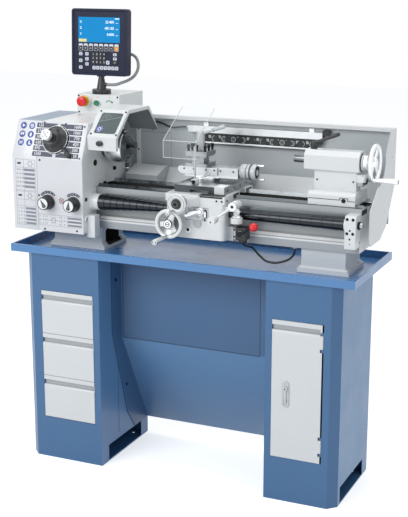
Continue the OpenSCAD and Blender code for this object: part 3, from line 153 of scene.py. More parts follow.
@dataclass(frozen=True)
class Finish:
    """A surface finish, made into one material when it is first used.

    Attributes:
        name: what the finish is.
        colour: its sRGB colour.
        roughness: the middle of its roughness.
        slot: the record's material slot that it belongs to.
    """

    name: str
    colour: str
    roughness: float = 0.4
    slot: str = ""

    def material(self) -> Material:
        """Returns the finish's material, and makes it the first time."""
        made = bpy.data.materials.get(self.name)
        if made is None:
            made = bpy.data.materials.new(self.name)
            tree = bare_tree(made)
            shader = add(tree, "BsdfPrincipled", {"Base Color": linear(self.colour),
                                                  "Roughness": self.roughness})
            add(tree, "OutputMaterial", {"Surface": shader.outputs[0]})
            self.dress(shader)
            made.diffuse_color = linear(self.colour)
        return made

    def dress(self, shader: Node) -> None:
        """Adds to the Principled shader what sets this finish apart from a plain colour."""

    def noise(self, shader: Node, size: Point | float, detail: float = 2.0) -> NodeSocket:
        """Adds a noise whose features have a real size.

        Args:
            shader: the material's Principled shader.
            size: the features' size in millimetres, or one for each axis.
            detail: how many finer layers it has.

        Returns:
            The noise's value socket.
        """
        sizes = [size] * 3 if isinstance(size, (int, float)) else size
        tree = shader.id_data
        place = add(tree, "TexCoord")
        scaled = add(tree, "Mapping", {"Vector": place.outputs["Object"],
                                       "Scale": [1 / (s * MM) for s in sizes]})
        return add(tree, "TexNoise", {"Vector": scaled.outputs[0], "Scale": 1.0, "Detail": detail,
                                      "Roughness": 0.55}).outputs[0]

    def vary(self, shader: Node, value: NodeSocket, colour: float, rough: float) -> None:
        """Lets a noise move the colour and the roughness a little.

        Args:
            shader: the material's Principled shader.
            value: the noise.
            colour: the share by which the colour darkens.
            rough: how far the roughness moves either way.
        """
        base = linear(self.colour)
        dark = [c * (1 - colour) for c in base[:3]] + [1.0]
        tint = add(shader.id_data, "Mix", {0: value, 6: dark, 7: base}, data_type="RGBA")
        spread = add(shader.id_data, "MapRange", {
            "Value": value, "From Min": 0.3, "From Max": 0.7,
            "To Min": max(0.02, self.roughness - rough), "To Max": self.roughness + rough})
        wire(shader, {"Base Color": tint.outputs[2], "Roughness": spread.outputs[0]})

    def relief(self, shader: Node, value: NodeSocket, depth: float,
               strength: float = 1.0) -> None:
        """Turns a height into small bumps.

        Args:
            shader: the material's Principled shader.
            value: the height, from 0 to 1.
            depth: the height of the bumps in millimetres.
            strength: how much of them shows.
        """
        bump = add(shader.id_data, "Bump", {"Height": value, "Distance": depth * MM, "Strength": strength})
        wire(shader, {"Normal": bump.outputs[0]})


@dataclass(frozen=True)
class Paint(Finish):
    """Sprayed or powder-coated paint: an even colour with a faint orange peel.

    Attributes:
        peel: size of the orange peel in millimetres, drawn coarser than life so that it shows.
        peel_depth: its height in millimetres.
        coat: weight of the clear top layer.
        mottle: the share by which the colour drifts over a hand's breadth.
    """

    peel: float = 3.0
    peel_depth: float = 0.03
    coat: float = 0.15
    mottle: float = 0.05

    def dress(self, shader: Node) -> None:
        """Adds the drift of the colour, the orange peel and the gloss layer."""
        self.vary(shader, self.noise(shader, 120.0, 3.0), self.mottle, 0.05)
        self.relief(shader, self.noise(shader, self.peel), self.peel_depth, 0.6)
        wire(shader, {"Coat Weight": self.coat, "Coat Roughness": 0.12, "IOR": 1.5})


@dataclass(frozen=True)
class Metal(Finish):
    """Bare machined metal: it mirrors the room softly, broken by its tool marks.

    Attributes:
        grain: which way the tool marks run.
        pitch: distance between the marks in millimetres, drawn coarser than life.
        depth: their height in millimetres.
        centre: a point on the axis of turned marks.
        stain: the share by which oil and handling darken it in patches.
    """

    grain: Grain = Grain.NONE
    pitch: float = 1.5
    depth: float = 0.01
    centre: Place = (0.0, 0.0, 0.0)
    stain: float = 0.12

    def dress(self, shader: Node) -> None:
        """Adds the tool marks and the stains."""
        wire(shader, {"Metallic": 1.0})
        self.vary(shader, self.noise(shader, 35.0, 4.0), self.stain, 0.07)
        if self.grain in (Grain.ALONG_X, Grain.ALONG_Y):
            long, fine = 60.0, self.pitch
            size = (long, fine, fine) if self.grain is Grain.ALONG_X else (fine, long, fine)
            self.relief(shader, self.noise(shader, size, 3.0), self.depth)
        elif self.grain is Grain.NONE:
            self.relief(shader, self.noise(shader, self.pitch, 3.0), self.depth)
        else:
            tree = shader.id_data
            place = add(tree, "TexCoord")
            middle = [-c * MM for c in self.centre]
            moved = add(tree, "Mapping", {"Vector": place.outputs["Object"], "Location": middle})
            # A wave of scale 1 repeats every 314 mm.
            rings = add(tree, "TexWave", {"Vector": moved.outputs[0], "Scale": 314 / self.pitch,
                                          "Distortion": 0.6},
                        wave_type="RINGS", rings_direction="X" if self.grain is Grain.ABOUT_X else "Y")
            self.relief(shader, rings.outputs[1], self.depth)


@dataclass(frozen=True)
class Moulded(Finish):
    """Moulded plastic or rubber: a soft gloss over a fine spark-eroded grain.

    Attributes:
        grit: size of the grain in millimetres.
        grit_depth: its height in millimetres.
        index: refractive index, which sets how much the surface mirrors.
    """

    grit: float = 1.2
    grit_depth: float = 0.008
    index: float = 1.49

    def dress(self, shader: Node) -> None:
        """Adds the grain and a slight change of gloss."""
        wire(shader, {"IOR": self.index})
        self.vary(shader, self.noise(shader, 25.0, 3.0), 0.08, 0.06)
        self.relief(shader, self.noise(shader, self.grit, 3.0), self.grit_depth, 0.5)


@dataclass(frozen=True)
class Printed(Moulded):
    """Ink, a film or a small smooth part: plastic with next to no grain."""

    grit_depth: float = 0.002


@dataclass(frozen=True)
class Clear(Finish):
    """Clear or smoked acrylic sheet.

    Attributes:
        alpha: how much of the light it stops.
    """

    alpha: float = 0.2

    def dress(self, shader: Node) -> None:
        """Makes the sheet see-through, with faint wipe marks in its gloss."""
        wire(shader, {"Alpha": self.alpha, "IOR": 1.49})
        self.vary(shader, self.noise(shader, (80.0, 80.0, 6.0), 2.0), 0.03, 0.02)


@dataclass(frozen=True)
class Lit(Finish):
    """A lit screen or lamp: a glossy face that glows in its own colour.

    Attributes:
        strength: how bright it is.
    """

    strength: float = 0.6

    def dress(self, shader: Node) -> None:
        """Adds the glow and a faint unevenness behind it."""
        wire(shader, {"IOR": 1.2})
        self.vary(shader, self.noise(shader, 40.0, 1.0), 0.1, 0.03)
        wire(shader, {"Emission Color": linear(self.colour), "Emission Strength": self.strength})


# Blue powder coat on folded sheet steel: even and satin.
STAND_BLUE = Paint("powder_coat_blue", "#3f6a96", 0.42, "stand_paint")
TRAY_BLUE = Paint("powder_coat_tray", "#4f84bb", 0.26, "stand_paint", coat=0.25, peel_depth=0.015)
# Light grey powder coat, slightly warmer and glossier than the castings.
DRAWER_GREY = Paint("powder_coat_pale", "#d9dcde", 0.36, "drawer_paint")
# Two-pack enamel on fettled cast iron: a little wavy, with a hard gloss.
MACHINE_WHITE = Paint("enamel_white", "#e2e5e6", 0.34, "machine_paint", peel=9.0, peel_depth=0.08, coat=0.3)
BED_GREY = Paint("enamel_grey", "#adb2b5", 0.34, "bed_paint", peel=8.0, peel_depth=0.1, coat=0.2)
# GUARD_SHADED: the guard's pale enamel made darker, as painted shade on the splash guard's inner wall, which
# stands in shade.
GUARD_SHADED = Paint("enamel_guard", "#bcc2c5", 0.42, "guard_paint")
GUARD_WHITE = Paint("enamel_guard_white", "#e0e3e4", 0.36, "guard_paint")
PANEL_WHITE = Paint("panel_white", "#dcdee2", 0.33, "panel_paint")
COVER_BLUE = Paint("powder_coat_cover", "#7f92a9", 0.4, "cover_paint")
MOTOR_GREY = Paint("enamel_motor", "#5e666c", 0.45, "motor_paint", peel=6.0, peel_depth=0.12)
BOX_WHITE = Paint("powder_coat_box", "#e3e7e7", 0.38, "panel_paint")
# Surface-ground steel: bright, with straight marks along the stroke.
GROUND_X = Metal("ground_steel_ways", "#c6cacc", 0.32, "ground_steel", grain=Grain.ALONG_X, stain=0.04)
GROUND_Y = Metal("ground_steel_cross", "#9ea3a5", 0.34, "ground_steel", grain=Grain.ALONG_Y)
SCREW_STEEL = Metal("bright_steel_screw", "#b5b9bb", 0.3, "ground_steel", grain=Grain.ALONG_X, pitch=2.0)
CHUCK_STEEL = Metal("turned_steel_chuck", "#9a9fa2", 0.34, "dark_steel", grain=Grain.ABOUT_X,
                    centre=(0.0, 0.0, SPINDLE_Z), stain=0.25)
JAW_STEEL = Metal("hardened_steel_jaw", "#767b7e", 0.46, "ground_steel", pitch=2.0, stain=0.3)
POST_STEEL = Metal("tool_post_steel", "#a4a8ab", 0.38, "dark_steel", pitch=2.5, stain=0.15)
SATIN_CHROME = Metal("satin_chrome", "#484c4f", 0.34, "satin_chrome", pitch=1.2, depth=0.006, stain=0.05)
# CHUCK_LIT: the chuck's steel made much lighter, as painted light on the lower half of its round face.
CHUCK_LIT = Metal("painted_light_chuck_steel", "#e4e7e8", 0.3, "dark_steel", grain=Grain.ABOUT_X, stain=0.05)
LATCH_GREY = Paint("latch_plating", "#c3c8ca", 0.34, "satin_chrome", coat=0.5, peel_depth=0.01)
DIAL_CHROME_Y = Metal("satin_chrome_turned", "#7e8285", 0.3, "satin_chrome", grain=Grain.ABOUT_Y, stain=0.05)
SPUN_X = Metal("turned_steel_bright", "#74787b", 0.24, "ground_steel", grain=Grain.ABOUT_X,
               centre=(0.0, 0.0, SPINDLE_Z), stain=0.08)
ALUMINIUM = Metal("anodised_aluminium", "#d6d9db", 0.35, "aluminium", grain=Grain.ALONG_X, stain=0.04)
# Black oxide on steel screws and the sprung covers.
BLACK_OXIDE = Metal("black_oxide", "#2b2e31", 0.4, "black_metal", pitch=1.0, stain=0.2)
COVER_STEEL = Metal("blued_spring_steel", "#383b3e", 0.22, "black_metal", grain=Grain.ABOUT_X,
                    centre=(0.0, *LEADSCREW), pitch=2.0, stain=0.2)
BLACK_PLASTIC = Moulded("black_abs", "#24272a", 0.36, "black_plastic")
CONSOLE_BLACK = Moulded("console_abs", "#0c1733", 0.4, "console", grit_depth=0.003, index=1.33)
RED_PLASTIC = Moulded("red_thermoplastic", "#e3272b", 0.24, "red_plastic", grit_depth=0.005)
GREEN_PLASTIC = Moulded("green_thermoplastic", "#148256", 0.3, "green_plastic", grit_depth=0.005)
CABLE_BLACK = Moulded("pvc_sheath_black", "#1d1f21", 0.42, "cable")
ARMOUR_GREY = Moulded("armoured_sheath_grey", "#8f9497", 0.4, "armour")
SMOKED = Clear("smoked_acrylic", "#5f6c6e", 0.12, "window", alpha=0.72)
CLEAR = Clear("clear_acrylic", "#dfe8ea", 0.06, "clear_plastic", alpha=0.05)
# Screen-printed ink and films on the panels: flat, even colours with a low gloss.
PRINT_DARK = Printed("printed_slate", "#3d4258", 0.45, "panel_paint")
PRINT_GREY = Printed("printed_grey", "#8a8d99", 0.45, "panel_paint")
PRINT_WHITE = Printed("printed_white", "#f2f3f5", 0.4, "panel_paint")
PRINT_BLUE = Printed("printed_blue", "#23439a", 0.4, "panel_paint")
PRINT_GREEN = Printed("printed_green", "#1f8f63", 0.4, "panel_paint")
PRINT_RED = Printed("printed_red", "#c8323c", 0.4, "panel_paint")
PRINT_YELLOW = Printed("printed_yellow", "#e8c822", 0.4, "panel_paint")
# Copies of the paints a step lighter or darker, with the same peel; most of them are painted light or painted
# shade, as said at each.
# MACHINE_SHADE: the white enamel a step darker, as painted shade; it also colours small parts on the apron,
# the thread dial and the switch.
MACHINE_SHADE = Paint("enamel_shaded", "#b9bdbf", 0.36, "machine_paint", peel=9.0, peel_depth=0.08, coat=0.3)
# WHEEL_WHITE: the handwheels' own glossy enamel.
WHEEL_WHITE = Paint("enamel_wheel", "#e6e8e8", 0.22, "satin_chrome", coat=0.6, peel_depth=0.01)
# GUARD_PALE_LIT: the guard's enamel made lighter, as painted light on the plate at the tailstock's end and on
# the channel at the wall's left end.
GUARD_PALE_LIT = Paint("painted_light_guard_plate", "#eaedee", 0.4, "guard_paint")
SEAM_GREY = Paint("seam_shadow_grey", "#4d5254", 0.6, "guard_paint")
# GRIP_SHADE: the drawers' paint made darker, as painted shade inside their grip channels.
GRIP_SHADE = Paint("painted_shade_grip", "#b4b9bc", 0.42, "drawer_paint")
# STAND_SIDE_LIT: the blue powder coat made lighter, as painted light on the cabinets' right-hand sides.
STAND_SIDE_LIT = Paint("painted_light_stand_side", "#5c87b3", 0.42, "stand_paint")
# REAR_LOW_LIT: the blue powder coat made lighter, as painted light on the rear panel's lower slope.
REAR_LOW_LIT = Paint("painted_light_rear_low", "#5480ac", 0.42, "stand_paint")
# REAR_SHADED: the blue powder coat made darker, as painted shade on the rear panel between the cabinets.
REAR_SHADED = Paint("painted_shade_rear", "#3c638c", 0.42, "stand_paint")
STAND_SEAM = Paint("seam_shadow_blue", "#1d3450", 0.6, "stand_paint")
# The bed's ground ways, bright and straight-grained, and the castings round them, dull and wavy, with lighter
# and darker copies that are painted light or painted shade, as said at each.
WAY_STEEL = Metal("ground_ways", "#a9aeb1", 0.24, "ground_steel", grain=Grain.ALONG_X, depth=0.002)
# WAY_SIDE_SHADED: the ways' steel made darker, as painted shade on the ground edges below the ways.
WAY_SIDE_SHADED = Metal("ground_edges_shaded", "#6f7579", 0.3, "ground_steel", grain=Grain.ALONG_X)
# BED_LIT: the bed's enamel made lighter, as painted light on the feet and the bed's right-hand end.
BED_LIT = Paint("painted_light_bed_foot", "#d9dcdd", 0.4, "bed_paint", peel=8.0, peel_depth=0.1, coat=0.2)
# BED_HIGHLIGHT: near-white enamel, a painted highlight along the bed's lower ledge.
BED_HIGHLIGHT = Paint("painted_highlight_ledge", "#f3f4f4", 0.3, "bed_paint", peel=8.0, peel_depth=0.05, coat=0.3)
# SHADE_DARK: near black, painted shade between the bed's rails, in the foot's arch and on the saddle's top
# under the cross slide.
SHADE_DARK = Paint("painted_shade_dark", "#181b1b", 0.7, "bed_paint", peel=5.0, peel_depth=0.15)
# SLIDE_FRONT_SHADED: the slide's steel made darker, as painted shade on the cross slide's front.
SLIDE_FRONT_SHADED = Metal("painted_shade_slide_front", "#54585b", 0.34, "ground_steel", grain=Grain.ALONG_X, stain=0.2)
# SLIDE_SIDE_LIT: the slide's steel made lighter, as painted light on the cross slide's right-hand side.
SLIDE_SIDE_LIT = Metal("painted_light_slide_side", "#aaaeb1", 0.34, "ground_steel", grain=Grain.ALONG_Y)
# The lamp's moulded parts, smooth so that they catch the light, and the acrylic's edges, near white as a
# painted highlight.
LAMP_DARK = Printed("lamp_black", "#1b1e20", 0.3, "black_plastic")
LENS = Printed("lamp_lens", "#5f6668", 0.12, "clear_plastic")
LENS_RIM = Printed("lamp_lens_rim", "#b9bfc0", 0.25, "clear_plastic")
EDGE_HIGHLIGHT = Printed("painted_highlight_acrylic_edge", "#eef2f2", 0.2, "clear_plastic")
# PAINTED_GLARE: a pale streak, a painted reflection on the guard's window.
PAINTED_GLARE = Moulded("painted_reflection_window", "#7f8b90", 0.2, "window", grit_depth=0.001)
# GUARD_INSIDE_SHADED: the guard's enamel made darker, as painted shade on its faces that look in at the chuck.
GUARD_INSIDE_SHADED = Paint("painted_shade_guard_inside", "#8d9395", 0.45, "guard_paint")
# The readout's backlit screen, which glows, and its satin keys.
SCREEN_BLUE = Lit("screen_glow", "#127bb5", 0.5, "console", strength=0.42)
SCREEN_WHITE = Lit("screen_digits", "#eaf6ff", 0.1, "console", strength=0.5)
KEY_WHITE = Printed("key_legend_white", "#d6dbe6", 0.4, "console")
KEY_BLACK = Printed("key_black", "#0c0e14", 0.3, "console")
KEY_YELLOW = Printed("screen_tag", "#e9e08a", 0.4, "console")
KEY_ORANGE = Printed("key_orange", "#e69b26", 0.4, "console")


# -------- shapes
class Facing(Enum):
    """How a shape's own axes lie on the machine: its x, y and z point along these."""

    RIGHT = Matrix(((0, 0, 1, 0), (1, 0, 0, 0), (0, 1, 0, 0), (0, 0, 0, 1)))
    FRONT = Matrix(((1, 0, 0, 0), (0, 0, -1, 0), (0, 1, 0, 0), (0, 0, 0, 1)))
    UP = Matrix.Identity(4)

    def at(self, x: float, y: float, z: float) -> Matrix:
        """Returns the matrix that puts a shape's origin at a place, facing this way."""
        return shift(x, y, z) @ self.value


RIGHT, FRONT, UP = Facing


def shift(x: float, y: float, z: float) -> Matrix:
    """Returns a move along the three axes."""
    return Matrix.Translation((x, y, z))


def spin(degrees: float, axis: str) -> Matrix:
    """Returns a turn about one axis."""
    return Matrix.Rotation(math.radians(degrees), 4, axis)


class Shape:
    """A mesh in the making, in millimetres on the machine's axes."""

    def __init__(self, name: str, body: str, finish: Finish) -> None:
        """Starts an empty shape.

        Args:
            name: the piece's name.
            body: the moving body that it belongs to.
            finish: the finish of what is added first.
        """
        self.name = name
        self.body = body
        self.bm = bmesh.new()
        self.finishes: list[Finish] = [finish]
        self.finish = finish
        self.nodes: list[str] = []

    def use(self, finish: Finish) -> "Shape":
        """Changes the finish of what is added next, and returns the shape itself."""
        if finish not in self.finishes:
            self.finishes.append(finish)
        self.finish = finish
        return self

    def join(self, part: BMesh, at: Matrix, soft: float = 0.0, turned: bool = False) -> None:
        """Adds a finished part of the shape.

        Args:
            part: the part, on its own axes; it is freed.
            at: where it goes.
            soft: width of the rounding on its edges.
            turned: whether its normals are worked out afresh.
        """
        if turned:
            bmesh.ops.remove_doubles(part, verts=part.verts, dist=0.001)
            bmesh.ops.recalc_face_normals(part, faces=part.faces)
        flatten(part)
        if soft:
            round_edges(part, soft)
        index = self.finishes.index(self.finish)
        for face in part.faces:
            face.material_index = index
        bmesh.ops.transform(part, matrix=at, verts=part.verts)
        held = bpy.data.meshes.new("held")
        part.to_mesh(held)
        part.free()
        self.bm.from_mesh(held)
        bpy.data.meshes.remove(held)

    def block(self, lo: Point, hi: Point, soft: float = 0.0, at: Matrix | None = None) -> None:
        """Adds a block between two corners, with rounded edges."""
        part = bmesh.new()
        middle = (Vector(lo) + Vector(hi)) / 2
        size = Vector(hi) - Vector(lo)
        bmesh.ops.create_cube(part, size=1.0, matrix=shift(*middle) @ Matrix.Diagonal((*size, 1)))
        self.join(part, at or Matrix.Identity(4), soft)

    def turned(self, profile: Iterable[Point], at: Matrix, sides: int = 64, closed: bool = False) -> None:
        """Adds a body turned from a profile about its own z axis.

        Args:
            profile: radius and height of each corner.
            at: where it goes.
            sides: facets round it.
            closed: whether the profile closes on itself, as a rim's does.
        """
        part = bmesh.new()
        verts = [part.verts.new((r, 0, h)) for r, h in profile]
        ring = list(zip(verts, verts[1:])) + ([(verts[-1], verts[0])] if closed else [])
        edges = [part.edges.new(pair) for pair in ring]
        bmesh.ops.spin(part, geom=verts + edges, cent=(0, 0, 0), axis=(0, 0, 1), angle=math.tau, steps=sides,
                       use_merge=True)
        self.join(part, at, turned=True)

    def rod(self, radius: float, ends: Point, at: Matrix, soft: float = 0.4, sides: int = 32,
            top: float | None = None) -> None:
        """Adds a round rod along its own z axis, with softened ends.

        Args:
            radius: radius at the lower end.
            ends: height of its two ends.
            at: where it goes.
            soft: width of the edge at each end.
            sides: facets round it.
            top: radius at the upper end, where it differs.
        """
        low, high = ends
        tip = radius if top is None else top
        self.turned([(0, low), (radius - soft, low), (radius - soft * 0.3, low + soft * 0.3),
                     (radius, low + soft), (tip, high - soft), (tip - soft * 0.3, high - soft * 0.3),
                     (tip - soft, high), (0, high)], at, sides)

    def hoop(self, inner: float, outer: float, ends: Point, at: Matrix, sides: int = 48) -> None:
        """Adds a flat ring about its own z axis."""
        self.turned([(inner, ends[0]), (outer, ends[0]), (outer, ends[1]), (inner, ends[1])], at, sides, True)

    def rim(self, radius: float, thick: float, height: float, at: Matrix, sides: int = 96) -> None:
        """Adds a round rim, such as a handwheel's, about its own z axis."""
        turn = [math.tau * i / 16 for i in range(16)]
        self.turned([(radius + thick * math.cos(a), height + thick * math.sin(a)) for a in turn],
                    at, sides, True)

    def prism(self, outline: Iterable[Point], ends: Point, at: Matrix, soft: float = 0.0, border: float = 0.0,
              sink: float = 0.0) -> None:
        """Adds an outline drawn out along its own z axis.

        Args:
            outline: its corners, on its own x and y axes.
            ends: height of its two ends.
            at: where it goes.
            soft: width of the rounding on its edges.
            border: width of a raised border on its upper end, where it has one.
            sink: how far the middle lies below the border.
        """
        part = bmesh.new()
        back = part.faces.new([part.verts.new((x, y, ends[0])) for x, y in outline])
        grown = bmesh.ops.extrude_face_region(part, geom=[back])["geom"]
        tops = [g for g in grown if isinstance(g, bmesh.types.BMVert)]
        bmesh.ops.translate(part, verts=tops, vec=(0, 0, ends[1] - ends[0]))
        if border:
            front = [g for g in grown if isinstance(g, bmesh.types.BMFace)]
            bmesh.ops.recalc_face_normals(part, faces=part.faces)
            for inset, depth in ((border, 0.0), (sink * 0.5, -sink)):
                bmesh.ops.inset_region(part, faces=front, thickness=inset, depth=depth, use_even_offset=True)
        self.join(part, at, soft, turned=True)

    def disc(self, radius: float, ends: Point, at: Matrix, sides: int = 32) -> None:
        """Adds a plain thin disc, such as a printed dot."""
        part = bmesh.new()
        bmesh.ops.create_cone(part, cap_ends=True, segments=sides, radius1=radius, radius2=radius,
                              depth=ends[1] - ends[0], matrix=shift(0, 0, sum(ends) / 2))
        self.join(part, at)

    def sweep(self, points: Sequence[Point], radius: float) -> None:
        """Adds a round bar bent along a line of points.

        Args:
            points: the bar's middle line.
            radius: its radius.
        """
        curve = bpy.data.curves.new("bar", "CURVE")
        curve.dimensions = "3D"
        curve.bevel_depth = radius
        curve.bevel_resolution = 4
        curve.use_fill_caps = True
        spline = curve.splines.new("POLY")
        spline.points.add(len(points) - 1)
        for slot, place in zip(spline.points, points):
            slot.co = (*place, 1)
        self.join(from_curve(curve), Matrix.Identity(4), turned=True)

    def text(self, words: str, height: float, at: Matrix, align: str = "CENTER") -> None:
        """Adds raised lettering, such as numbers on a dial.

        Args:
            words: what it says.
            height: height of its capitals.
            at: where its middle goes, facing along its own z axis.
            align: LEFT, CENTER or RIGHT.
        """
        thick, capitals = 0.06, 0.7
        curve = bpy.data.curves.new("words", "FONT")
        curve.body = words
        curve.size = height / capitals
        curve.resolution_u = 2
        curve.align_x = align
        curve.align_y = "CENTER"
        curve.extrude = thick / 2
        curve.offset = height * 0.012
        self.join(from_curve(curve), at @ shift(0, 0, thick / 2))

    def screw(self, radius: float, height: float, *places: Matrix) -> None:
        """Adds a socket-head screw at each place: a round head with its socket in the top."""
        r, h = radius, height
        for at in places:
            self.turned([(0, h * 0.45), (r * 0.5, h * 0.45), (r * 0.5, h), (r * 0.92, h),
                         (r, h * 0.9), (r, 0)],
                        at, 24)

    def hex_head(self, radius: float, height: float, at: Matrix) -> None:
        """Adds a hexagon bolt head on its washer."""
        self.turned([(0, height * 0.25), (radius * 1.35, height * 0.25), (radius * 1.35, 0)], at, 32)
        self.prism(hexagon(radius), (height * 0.2, height), at, radius * 0.06)

    def ticks(self, turns: Iterable[float], radii: Point, ends: Point, at: Matrix,
              fifth: float = 0.0) -> None:
        """Adds graduations round an axis.

        Args:
            turns: where each one stands round the axis, in degrees.
            radii: where they start inside the drum and how far out they reach.
            ends: where they start and end along the axis.
            at: the axis.
            fifth: how much longer every fifth one is.
        """
        for k, turn in enumerate(turns):
            longer = 0.0 if k % 5 else fifth
            self.block((radii[0], -TICK, ends[0]), (radii[1], TICK, ends[1] + longer),
                       at=at @ spin(turn, "Z"))

    def handle(self, at: Matrix, neck: Point, grip: Point, radius: float) -> None:
        """Adds a turning crank handle: a thin neck, a waisted grip and a slotted screw in its end.

        Args:
            at: a place on its axis.
            neck: where the neck starts and its radius.
            grip: where the grip starts and ends.
            radius: the grip's radius at its thickest.
        """
        lo, hi = grip
        r = radius
        self.use(SATIN_CHROME).rod(neck[1], (neck[0], lo + 0.5), at)
        self.turned([(0, lo), (r * 0.72, lo), (r * 0.8, lo + 2), (r * 0.86, lo + (hi - lo) * 0.3),
                     (r, lo + (hi - lo) * 0.72), (r, hi - 2), (r * 0.94, hi - 0.4), (r * 0.88, hi), (0, hi)],
                    at, 40)
        self.use(BLACK_OXIDE).hoop(r * 0.52, r * 0.76, (hi, hi + 0.25), at, 24)
        self.block((-r * 0.4, -0.9, hi), (r * 0.4, 0.9, hi + 0.3), at=at)

    def repaint(self, finish: Finish, chosen: FaceTest) -> None:
        """Gives another finish to the faces that a test picks.

        Args:
            finish: the other finish.
            chosen: says, from a face's middle and its normal, whether it changes.
        """
        index = self.finishes.index(self.use(finish).finish)
        for face in self.bm.faces:
            if chosen(face.calc_center_median(), face.normal):
                face.material_index = index

    def flat_sheets(self, crease: float) -> list[int]:
        """Finds the flat sheets of faces that are much larger than the rounding round them.

        Args:
            crease: the angle from which an edge stays sharp, in radians.

        Returns:
            The numbers of their faces, which are to be shaded flat.
        """
        self.bm.normal_update()
        self.bm.faces.index_update()
        level, much = 0.01, 3
        seen, flat = set(), []
        for first in self.bm.faces:
            if first in seen:
                continue
            seen.add(first)
            sheet, rounding = [first], 0.0
            for face in sheet:
                for other in (other for edge in face.edges for other in edge.link_faces):
                    turn = other.normal.angle(face.normal, 0.0)
                    if turn < level and other not in seen:
                        seen.add(other)
                        sheet.append(other)
                    elif level <= turn < crease:
                        rounding += other.calc_area()
            if sum(face.calc_area() for face in sheet) > much * rounding:
                flat += [face.index for face in sheet]
        return flat

    def piece(self, *replaced: str, crease: float = 35.0) -> Object:
        """Makes the shape into a piece of the scene.

        Args:
            replaced: the frame's nodes that it stands for, beside the one that it was cast from.
            crease: the angle from which an edge stays sharp.

        Returns:
            The new object, at the origin, riding on its body.
        """
        flat = self.flat_sheets(math.radians(crease))
        bmesh.ops.scale(self.bm, vec=(MM, MM, MM), verts=self.bm.verts)
        mesh = bpy.data.meshes.new(self.name)
        self.bm.to_mesh(mesh)
        self.bm.free()
        mesh.set_sharp_from_angle(angle=math.radians(crease))
        for index in flat:
            mesh.polygons[index].use_smooth = False
        for finish in self.finishes:
            mesh.materials.append(finish.material())
        made = placed(self.name, mesh)
        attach(made, self.body)
        if self.nodes or replaced:
            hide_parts(*self.nodes, *replaced)
        LOG.info("%s: %d faces, rides on %s", self.name, len(mesh.polygons), self.body)
        return made


def placed(name: str, data: bpy.types.ID) -> Object:
    """Makes an object that shows some data, and puts it in the scene."""
    made = bpy.data.objects.new(name, data)
    bpy.context.scene.collection.objects.link(made)
    return made


def hexagon(radius: float) -> Outline:
    """Returns the corners of a hexagon."""
    return [(radius * math.cos(math.tau * k / 6), radius * math.sin(math.tau * k / 6)) for k in range(6)]


def rounded(width: float, height: float, radius: float, steps: int = 5,
            middle: Pair = (0.0, 0.0)) -> Outline:
    """Returns the corners of a rectangle with round corners.

    Args:
        width: its width.
        height: its height.
        radius: radius of its corners.
        steps: facets in each corner.
        middle: where its middle lies.

    Returns:
        Its outline, anticlockwise.
    """
    line = []
    for turn, (sx, sy) in enumerate(((1, 1), (-1, 1), (-1, -1), (1, -1))):
        cx, cy = middle[0] + sx * (width / 2 - radius), middle[1] + sy * (height / 2 - radius)
        for k in range(steps + 1):
            a = math.pi / 2 * (turn + k / steps)
            line.append((cx + radius * math.cos(a), cy + radius * math.sin(a)))
    return line


def sector(inner: float, outer: float, start: float, end: float) -> Outline:
    """Returns the outline of a piece of a ring.

    Args:
        inner: its inner radius.
        outer: its outer radius.
        start: the angle where it starts, in degrees.
        end: the angle where it ends.

    Returns:
        Its outline.
    """
    turns = [math.radians(start + (end - start) * k / 16) for k in range(17)]
    return ([(outer * math.cos(a), outer * math.sin(a)) for a in turns]
            + [(inner * math.cos(a), inner * math.sin(a)) for a in reversed(turns)])


def from_curve(curve: bpy.types.Curve) -> BMesh:
    """Turns a curve or lettering into a mesh, and removes the curve."""
    held = placed("held_curve", curve)
    mesh = bpy.data.meshes.new_from_object(held.evaluated_get(bpy.context.evaluated_depsgraph_get()))
    part = bmesh.new()
    part.from_mesh(mesh)
    bpy.data.objects.remove(held)
    bpy.data.curves.remove(curve)
    bpy.data.meshes.remove(mesh)
    return part


def flatten(part: BMesh) -> None:
    """Shades the flat faces of a mesh flat and its curved ones smooth."""
    level = 0.7
    for face in part.faces:
        turns = [math.degrees(e.calc_face_angle(0)) for e in face.edges if len(e.link_faces) == 2]
        face.smooth = any(level < turn < CORNER for turn in turns)


def round_edges(part: BMesh, width: float) -> None:
    """Rounds every corner of a mesh.

    Args:
        part: the mesh to round.
        width: how far the rounding reaches on each side.
    """
    limit = math.radians(CORNER)
    edges = [e for e in part.edges if len(e.link_faces) == 2 and e.calc_face_angle(0) > limit]
    made = bmesh.ops.bevel(part, geom=edges, offset=width, offset_type="OFFSET", segments=2, profile=0.5,
                           affect="EDGES", material=-1, clamp_overlap=True)
    for face in made["faces"]:
        face.smooth = True


def cast(node: str, finish: Finish, edge: float, *others: tuple[Finish, FaceTest]) -> Shape:
    """Starts a shape from one of the frame's nodes, its facets joined and its edges rounded.

    Args:
        node: the node's name.
        finish: its finish.
        edge: width of the rounding in millimetres.
        others: another finish and the test that picks its faces, in the order in which they are laid on.

    Returns:
        The shape, on the node's body, which will stand for the node.
    """
    source = FRAME["nodes"][node]
    shape = Shape(node + "_finished", source["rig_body"], finish)
    shape.nodes.append(node)
    part = bmesh.new()
    part.from_mesh(source.data)
    bmesh.ops.scale(part, vec=(1 / MM,) * 3, verts=part.verts)
    bmesh.ops.remove_doubles(part, verts=part.verts, dist=0.002)
    bmesh.ops.dissolve_limit(part, angle_limit=math.radians(0.6), verts=part.verts, edges=part.edges)
    shape.join(part, Matrix.Identity(4), edge)
    for other, chosen in others:
        shape.repaint(other, chosen)
    return shape


